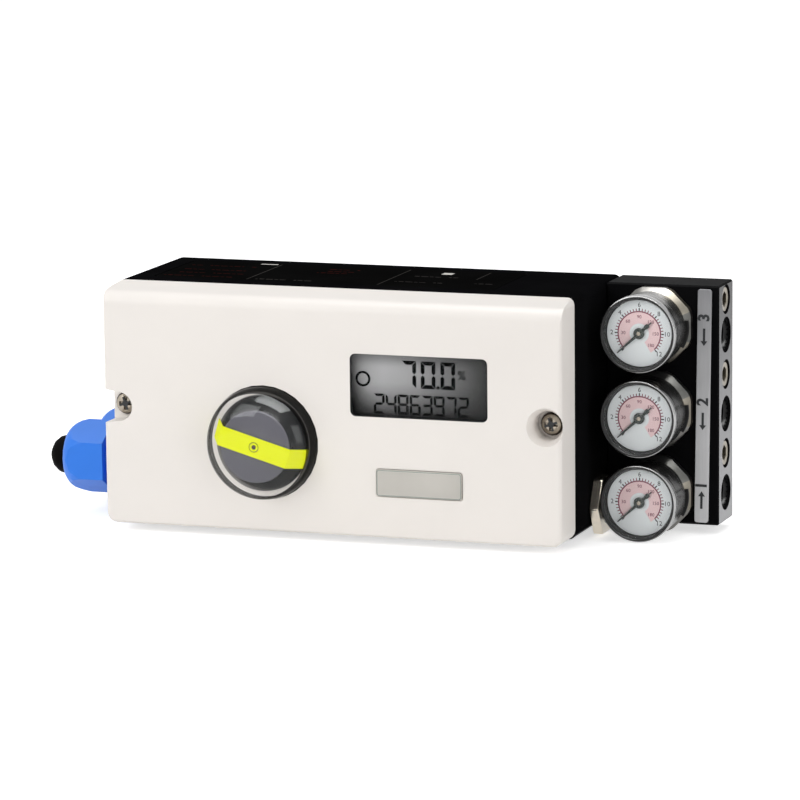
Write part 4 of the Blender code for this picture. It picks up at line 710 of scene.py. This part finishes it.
def rounded(half_x, half_y, radius, steps=5):
    """A rectangle about the origin with round corners."""
    points = []
    for i, (sx, sy) in enumerate(((1, 1), (-1, 1), (-1, -1), (1, -1))):
        for j in range(steps + 1):
            angle = math.radians(90 * i + 90 * j / steps)
            points.append((
                sx * (half_x - radius) + radius * math.cos(angle), sy * (half_y - radius) + radius * math.sin(angle)
            ))
    return points


def frame_of(outer, inner, start, end):
    """A flat frame between two outlines of as many points."""
    shape = bmesh.new()
    loops = []
    for outline in (outer, inner):
        points = [shape.verts.new((x * MM, y * MM, start * MM)) for x, y in outline]
        loops.append([shape.edges.new((points[i - 1], points[i])) for i in range(len(points))])
    faces = bmesh.ops.bridge_loops(shape, edges=loops[0] + loops[1])["faces"]
    out = bmesh.ops.extrude_face_region(shape, geom=faces)
    moved = [v for v in out["geom"] if isinstance(v, bmesh.types.BMVert)]
    bmesh.ops.translate(shape, vec=(0, 0, (end - start) * MM), verts=moved)
    return shape


def dome_curve(radius, rise, steps=18):
    """Steep sides and a flat crown, from the rim to the middle."""
    turns = [math.radians(90 * i / steps) for i in range(steps)]
    curve = [(radius * math.cos(t) ** (2 / 3.5), rise * math.sin(t) ** (2 / 2.3)) for t in turns]
    return curve + [(0, rise)]


def dress_indicator():
    at = spot(0, COVER_FACE, 0)
    outside = dome_curve(20.7, 13.15)[::-1] + [(20.7, -2.8), (22.7, -2.8), (22.9, -3.0), (22.9, -3.8), (22.7, -4.0)]
    inside = [(19.75, -4.0)] + dome_curve(19.75, 12.2)

    def thick_side(face):
        centre = face.calc_center_median()
        return 1 if math.hypot(centre.x, centre.z) > 19.3 * MM else 0

    shell = put(spun(outside + inside, 96), FORWARD, at)
    dome = piece("dome_shell", shell, [dome_clear, dome_side], "cover", ["indicator_dome"], choose=thick_side)
    dome.visible_shadow = False
    dome.visible_diffuse = False
    seat = spun([(17.72, 0.1), (17.72, 0.5), (19.62, 0.7), (19.62, 0.1)], 96, True)
    piece("dome_seat", put(seat, FORWARD, at), cover_white, "cover")
    profile = [(1.2, 9.45), (5.5, 9.5), (12.3, 9.5), (12.8, 9.42), (13.1, 9.15), (13.3, 8.8), (17.3, 1.95)]
    profile += [(17.55, 1.45), (17.6, 1.1), (17.6, 0.6), (17.5, 0.5), (16.1, 0.5), (16.1, 1.1), (12.5, 8.0)]
    profile += [(4.0, 8.0), (4.0, -6.0), (2.85, -6.0), (2.85, 6.5), (1.2, 6.5)]

    def flank(face):
        centre = face.calc_center_median()
        return 1 if math.hypot(centre.x, centre.z) > 13.25 * MM else 0

    shape = put(spun(profile, 96, True), FORWARD, at)
    piece("cap_form", shape, [cap_grey, cap_flank], "shaft", ["indicator_cap"], 25, choose=flank)
    softened("indicator_stripe", stripe_yellow, "shaft", 0.12)
    washer = spun([(0.85, 84.5), (1.58, 84.5), (1.58, 84.96), (0.85, 84.96)], 32, True)
    piece("indicator_washer", put(washer, FORWARD, spot(0, 0, 0)), stripe_yellow, "shaft")
    pin = spun([(0, 76.6), (0.8, 76.6), (0.8, 84.9), (0.65, 85.0), (0, 85.0)], 32)
    piece("indicator_pin", put(pin, FORWARD, spot(0, 0, 0)), dark_steel_and_shade, "shaft", ["indicator_screw"])


# The display

SEGMENTS = {
    "0": "abcdef", "2": "abged", "3": "abgcd", "4": "fgbc", "6": "afgecd", "7": "abc", "8": "abcdefg", "9": "abcdfg"
}


def segment_figure(figure, x, y, width, height, wide):
    """A seven-segment figure, sized to the middles of its bars from its lower left corner."""
    half, gap = wide / 2, 0.12
    left, right, low, top, middle = x - half, x + width + half, y - half, y + height + half, y + height / 2
    inner_left, inner_right = left + wide, right - wide
    upper = [top - gap, top - wide - gap, middle + half + gap, middle + gap]
    lower = [low + gap, low + wide + gap, middle - half - gap, middle - gap]

    def upright(outer, inner, heights):
        return [
            (outer, heights[0]), (inner, heights[1]), (inner, heights[2]), ((outer + inner) / 2, heights[3]),
            (outer, heights[2])
        ]

    bars = {
        "a": [(left + gap, top), (right - gap, top), (inner_right - gap, top - wide), (inner_left + gap, top - wide)],
        "d": [(left + gap, low), (right - gap, low), (inner_right - gap, low + wide), (inner_left + gap, low + wide)],
        "b": upright(right, inner_right, upper), "c": upright(right, inner_right, lower),
        "e": upright(left, inner_left, lower), "f": upright(left, inner_left, upper),
        "g": [
            (x + gap, middle), (inner_left + gap, middle - half), (inner_right - gap, middle - half),
            (x + width - gap, middle), (inner_right - gap, middle + half), (inner_left + gap, middle + half)
        ],
    }
    return together(*[drawn(bars[letter], 0, 0.03) for letter in SEGMENTS[figure]])


def dress_display():
    """A grey display with two rows of plain figures, a share sign and a ring."""
    softened("display_module", plastic_black, "housing_body", 0.2)
    at = spot(DISPLAY_X, DISPLAY_FLOOR, DISPLAY_Z)
    plate = drawn(rounded(27.8, 13.2, 1.4), 0.62, 0.82)
    piece("display_plate", put(plate, FORWARD, at), display_ground, "housing_body")
    at = spot(DISPLAY_X, DISPLAY_FLOOR + 0.82, DISPLAY_Z)
    shapes = []
    for figure, x, width in (("7", -6.9, 4.0), ("0", 0.3, 4.1), ("0", 7.75, 4.1)):
        shapes.append(segment_figure(figure, x, -0.25, width, 8.5, 1.45))
    shapes.append(shift(drawn(round_outline(0.65), 0, 0.03), 6.05, -0.4))
    shapes.append(shift(figures("%", 4.6, 0.03, 0.07), 15.0, 4.3))
    shapes.append(shift(band(2.0, 2.85, 0, 360, 0, 0.03, 40), -22.4, 1.7))
    for i, figure in enumerate("24863972"):
        shapes.append(segment_figure(figure, -17.9 + 4.55 * i, -10.3, 3.2, 6.4, 0.95))
    piece("display_figures", put(together(*shapes), FORWARD, at), display_ink, "housing_body")


def box_outline(x, y, width, height):
    return [(x, y), (x + width, y), (x + width, y + height), (x, y + height)]


def round_outline(radius, sides=16):
    return [(radius * math.cos(math.tau * i / sides), radius * math.sin(math.tau * i / sides)) for i in range(sides)]


# Gauge block and gauges

def dress_block():
    # the right face is milled; back and underside keep the sheen, and the rest get the darker copy as painted shade
    def ground(face):
        if face.normal.x > 0.99 and face.calc_center_median().x > (BLOCK_RIGHT - 0.1) * MM:
            return 1
        return 2 if face.normal.y > 0.5 or face.normal.z < -0.5 else 0

    softened("gauge_block", [block_black, milled_face, block_sheen_side], "housing_body", 0.3, choose=ground)
    for name, z in PORT_Z.items():
        lining = put(thread(5.8, 13.0, 1.34, 0.5), RIGHTWARD, spot(BLOCK_RIGHT - 13.9, PORT_FORWARD, z))
        piece(f"port_thread_{name}", lining, thread_black, "housing_body")
    for name, z in BOLT_Z.items():
        dress_bolt(name, z)
    turn = Matrix.Rotation(math.radians(STRIP_LEAN), 4, "Z")
    strip = drawn(rounded(2.6, 42.9, 1.0), 0, 0.7)
    place = FORWARD @ turn
    at = spot(STRIP_X, STRIP_FACE - 0.7, STRIP_Z)
    piece("strip_form", put(strip, place, at), strip_silver, "housing_body", ["port_strip"], edge=0.15)
    shapes = []
    for number, name in (("3", "upper"), ("2", "middle"), ("1", "lower")):
        z = GAUGE_Z[name]
        shapes.append(shift(figures(number, 5.8, 0.04, 0.2), 0, z + 3.4, 0, 90))
        top, foot = z - 0.6, z - 5.2
        shapes.append(bar(-0.45, foot, 0.45, top, 0, 0.04))
        if name == "lower":
            shapes.append(drawn([(-1.3, top), (1.3, top), (0, top + 1.9)], 0, 0.04))
        else:
            shapes.append(drawn([(1.3, foot), (-1.3, foot), (0, foot - 1.8)], 0, 0.04))
    marks = shift(together(*shapes), 0, -STRIP_Z)
    piece("port_numbers", put(marks, place, spot(STRIP_X, STRIP_FACE, STRIP_Z)), ink_and_shadow_black, "housing_body")


def polygon(radius, sides, turn=0.0):
    angles = [math.radians(turn) + math.tau * i / sides for i in range(sides)]
    return [(radius * math.cos(a), radius * math.sin(a)) for a in angles]


def dress_bolt(name, z):
    """A socket-head bolt with a chamfered head, sunk in the block's right face, with painted shade on its rim."""
    hexagon = []
    for first, last in zip(polygon(2.89, 6, 30), polygon(2.89, 6, 90)):
        hexagon += [tuple(a + (b - a) * i / 8 for a, b in zip(first, last)) for i in range(8)]
    head = stacked([
        (hexagon, 2.6), (hexagon, 6.5), (polygon(3.3, 48, 30), 6.7), (polygon(4.35, 48, 30), 6.7),
        (polygon(4.85, 48, 30), 6.2), (polygon(4.85, 48, 30), 0), (polygon(2.9, 48, 30), 0),
        (polygon(2.9, 48, 30), -42.3), (polygon(2.3, 48, 30), -42.9)
    ])
    place = spot(BLOCK_RIGHT - 7.2, PORT_FORWARD, z)

    # painted shade on the head's rim and side
    def rim(face):
        centre = face.calc_center_median()
        return 1 if math.hypot(centre.y + PORT_FORWARD * MM, centre.z - z * MM) > 4.4 * MM else 0

    finishes = [bolt_steel, dark_steel_and_shade]
    piece(f"bolt_{name}", put(head, RIGHTWARD, place), finishes, "housing_body", [f"block_bolt_{name}"], 30,
          choose=rim)


def bezel_and_can():
    """The gauge's case: pocket, rolled bezel, can and stem; dress_gauge gives the bezel's inner ring painted shade.
    """
    profile = [(0, 17.0), (0.9, 17.0), (0.9, 20.8), (12.2, 20.8), (12.25, 21.6), (12.7, 22.9), (12.95, 23.0)]
    profile += [(12.95, 24.2), (13.02, 24.5), (13.2, 24.72), (13.45, 24.8), (13.7, 24.75), (13.92, 24.58)]
    profile += [(14.05, 24.25), (14.05, 20.3), (13.95, 20.05), (13.6, 19.85), (13.4, 19.6), (13.4, 8.6)]
    profile += [(13.3, 8.1), (13.0, 7.6), (12.4, 7.3), (4.5, 7.3), (4.5, -8.6), (4.2, -9.0), (0, -9.0)]
    return spun(profile, 96)


def dress_gauge(name):
    z = GAUGE_Z[name]
    body, at = "housing_body", spot(GAUGE_X, BLOCK_FACE, GAUGE_Z[name])
    middle = Vector((GAUGE_X * MM, 0, z * MM))

    # painted shade on the bezel's inner faces
    def painted_shade_inner_ring(face):
        centre = face.calc_center_median()
        radius = math.hypot(centre.x - middle.x, centre.z - middle.z) / MM
        if -centre.y / MM < BLOCK_FACE + 19.9:
            return 2
        return 1 if radius < 13.62 and -centre.y / MM > BLOCK_FACE + 20.9 else 0

    case = put(bezel_and_can(), FORWARD, at)
    finishes = [bezel_steel, painted_shade_dark, case_steel]
    piece(f"case_{name}", case, finishes, body, [f"gauge_case_{name}"], 30, choose=painted_shade_inner_ring)
    dress_collar(name, at)
    disc = spun([(0.9, 21.1), (12.0, 21.1), (12.1, 21.2), (12.1, 21.5), (12.0, 21.6), (0.9, 21.6)], 72, True)
    piece(f"dial_{name}", put(disc, FORWARD, at), dial_white, body, [f"gauge_dial_{name}"])
    face = spot(GAUGE_X, BLOCK_FACE + DIAL_FACE, z)
    pink = band(3.6, 8.0, -58, 225, 0, 0.02)
    piece(f"dial_band_{name}", put(pink, FORWARD, face), band_pink, body)
    red = [band(7.7, 8.15, -45, 225, 0, 0.03)]
    black = []
    for i in range(37):
        angle = 225 - 7.5 * i
        red.append(shift(bar(8.1, -0.16, 9.05, 0.16), turn=angle))
        if i % 6 == 0:
            turn = math.radians(angle)
            if i:
                across, up = math.cos(turn), math.sin(turn)
                black.append(shift(figures(str(i // 3), 2.4), OUTER_FIGURES * across, OUTER_FIGURES * up))
                small = figures(str(i * 5), 1.75, 0.03, 0.02)
                red.append(shift(small, INNER_FIGURES * across, INNER_FIGURES * up))
            black.append(shift(bar(8.3, -0.22, 9.2, 0.22, 0, 0.035), turn=angle))
    piece(f"dial_scale_{name}", put(together(*red), FORWARD, face), ink_red, body)
    piece(f"dial_numbers_{name}", put(together(*black), FORWARD, face), ink_and_shadow_black, body)
    glass = spun([(0, 23.3), (12.55, 23.3), (12.65, 23.4), (12.65, 24.0), (12.55, 24.1), (0, 24.1)], 72)
    piece(f"glass_{name}", put(glass, FORWARD, at), gauge_glass, body, [f"gauge_glass_{name}"])
    dress_pointer(name, at)


def dress_collar(name, at):
    """The octagonal collar behind the case, its corners ground back, each ground face given painted reflections and
    painted shade by the way it faces.
    """
    # painted reflection chosen by facet angle; the middle and lower collars' tops get painted shade
    def painted_light_tone(face):
        centre = face.calc_center_median() - at
        turn = math.degrees(math.atan2(centre.z, centre.x))
        if name == "upper":
            return 0 if 67 < turn < 160 else 1 if abs(turn - 45) < 23 or abs(turn + 45) < 23 else 2
        return 2 if abs(turn - 45) < 23 else 1 if abs(turn) < 23 else 0 if abs(turn + 45) < 23 else 3

    outer = [point for corner in range(8) for point in cut_corner(13.95, 14.55, 22.5 + 45 * corner)]
    inner = [(x * 0.83, y * 0.83) for x, y in outer]
    shape = stacked([(outer, 0.3), (outer, 3.2), (inner, 6.6), ([(x * 0.96, y * 0.96) for x, y in inner], 7.0)])
    finishes = [collar_painted_highlight, collar_painted_reflection, collar_painted_shade, painted_shade_dark]
    piece(f"collar_{name}", put(shape, FORWARD, at), finishes, "housing_body", [f"gauge_collar_{name}"], 20,
          choose=painted_light_tone)
    # painted shadow: a dark sheet in the gap beside the case
    shadow_gap = band(12.7, 13.9, -32, 12, 5.0, 5.9, 12)
    piece(f"collar_shadow_gap_{name}", put(shadow_gap, FORWARD, at), painted_shade_dark, "housing_body")


def cut_corner(flat, reach, turn):
    """An octagon's corner, turned off to a reach between two flats."""
    half = math.degrees(math.acos(flat / reach))
    return [(reach * math.cos(math.radians(a)), reach * math.sin(math.radians(a)))
            for a in (turn - 22.5 + half, turn, turn + 22.5 - half)]


def dress_pointer(name, at):
    outline = [(10.85, -0.2), (10.95, 0), (10.85, 0.2), (0, 0.62), (-2.9, 0.55), (-3.5, 0.8), (-4.6, 0.8)]
    outline += [(-4.8, 0.25), (-6.2, 0.2), (-6.2, -0.2), (-4.8, -0.25), (-4.6, -0.8), (-3.5, -0.8)]
    outline += [(-2.9, -0.55), (0, -0.62)]
    blade = shift(drawn(outline, 22.0, 22.4), turn=222)
    hub = spun([(0, 21.9), (1.9, 21.9), (2.0, 22.0), (2.0, 22.5), (1.7, 22.8), (0, 22.8)], 32)
    arbor = spun([(0, 17.3), (0.6, 17.3), (0.6, 21.95), (0, 21.95)], 20)
    shape = put(together(blade, hub, arbor), FORWARD, at)
    body = f"pointer_{name}"
    piece(f"needle_{name}", shape, needle_green, body, [f"gauge_pointer_{name}"], 30)
    pin = spun([(0, 22.78), (0.72, 22.78), (0.72, 22.9), (0.5, 23.0), (0, 23.02)], 24)
    piece(f"needle_pin_{name}", put(pin, FORWARD, at), steel, body)


# Cable glands

def dress_glands():
    for side in ("front", "rear"):
        softened(f"gland_body_{side}", gland_blue, "housing_body", 0.4)
        softened(f"gland_nut_{side}", gland_blue, f"{side}_gland_nut", 0.45, 24)
        softened(f"gland_seal_{side}", rubber_black, "housing_body", 0.2)


# Inside, seen with the cover off

def dress_inside():
    body = "housing_body"
    softened("inner_panel", panel_grey, body, 0.2)
    softened("circuit_board", board_green, body, 0.15)
    softened("position_sensor", plastic_black, body, 0.3)
    softened("terminal_block", terminal_green, body, 0.2)
    softened("air_relay", alloy, body, 0.3)
    softened("pressure_module", chrome, body, 0.3)
    softened("feedback_shaft", chrome, "shaft", 0.12)
    softened("shaft_bush", bronze, body, 0.2)
    softened("drive_gear", brass, "shaft", 0.12)
    softened("sensor_gear", brass, "sensor_pinion", 0.12)
    marks = []
    for i, name in enumerate(("mode", "enter", "up", "down")):
        x = 41.45 + 12 * i
        softened(f"{name}_button", plastic_black, f"{name}_key", 0.2)
        marks.append(shift(band(4.1, 4.4, 0, 360, 0, 0.03, 40), x, -6.8))
        sign = {
            "mode": [(-1, -1), (1, -1), (1, 1), (-1, 1)], "enter": [(-1.3, 0), (0, -1.3), (1.3, 0), (0, 1.3)],
            "up": [(-1.2, -1), (1.2, -1), (0, 1.2)], "down": [(-1.2, 1), (0, -1.2), (1.2, 1)],
        }[name]
        marks.append(shift(drawn(sign, 0, 0.03), x, -13.6))
    for i in range(8):
        marks.append(shift(figures(str(i + 1), 2.6), -47.5 + 5 * i, 47.2))
    marks.append(frame_of(box_outline(36.0, -17.0, 46.9, 16.0), box_outline(36.3, -16.7, 46.3, 15.4), 0, 0.03))
    piece("panel_marks", put(together(*marks), FORWARD, spot(0, PANEL_FACE, 0)), ink_white, body)
    screws = []
    for i in range(8):
        head = spun([(0, 0), (1.45, 0), (1.45, 0.9), (1.2, 1.2), (0, 1.2)], 20)
        screws.append(shift(together(head, bar(-1.5, -0.2, 1.5, 0.2, 1.2, 1.26)), -47.5 + 5 * i, 40.45))
    shape = put(together(*screws), FORWARD, spot(0, TERMINAL_FACE, 0))
    piece("terminal_screws", shape, nickel, body)
    dress_board()


def dress_board():
    """Chips, cans and a connector on the front of the circuit board."""
    at = spot(0, BOARD_FACE, 0)
    chips = []
    for x, y, wide, high, thick in ((-32, -8, 11, 11, 1.6), (-33, 22, 8, 5, 1.4), (-14, 33, 10, 6, 1.5),
                                    (22, -15, 9, 6, 1.4), (16, 33, 7, 7, 1.2), (38, 36, 12, 5, 3.4),
                                    (-40, 6, 5, 4, 1.2), (22, 10, 6, 9, 1.4)):
        chips.append(shift(drawn(rounded(wide / 2, high / 2, 0.3, 2), 0, thick), x, y))
    piece("board_chips", put(together(*chips), FORWARD, at), plastic_black, "housing_body", edge=0.15)
    legs = []
    for x, y, wide, high in ((-32, -8, 11, 11), (-33, 22, 8, 5), (22, -15, 9, 6), (22, 10, 6, 9)):
        for i in range(int(wide)):
            for side in (-1, 1):
                place = x - wide / 2 + 0.5 + i
                edge = y + side * (high / 2 + 0.5)
                legs.append(bar(place - 0.2, edge - 0.5, place + 0.2, edge + 0.5, 0, 0.3))
    piece("board_legs", put(together(*legs), FORWARD, at), chrome, "housing_body")
    cans = []
    for x, y, radius in ((-18, -14, 3.1), (-46, -14, 2.6), (33, 16, 2.6)):
        profile = [(0, 0), (radius, 0), (radius, 0.6), (radius - 0.2, 0.8), (radius, 1.0), (radius, 5.2)]
        cans.append(shift(spun(profile + [(radius - 0.3, 5.5), (0, 5.5)], 28), x, y))
    piece("board_cans", put(together(*cans), FORWARD, at), alloy, "housing_body")


camera()
studio()
dress_housing()
dress_cover()
dress_indicator()
dress_display()
dress_block()
for gauge in GAUGE_Z:
    dress_gauge(gauge)
dress_glands()
dress_inside()
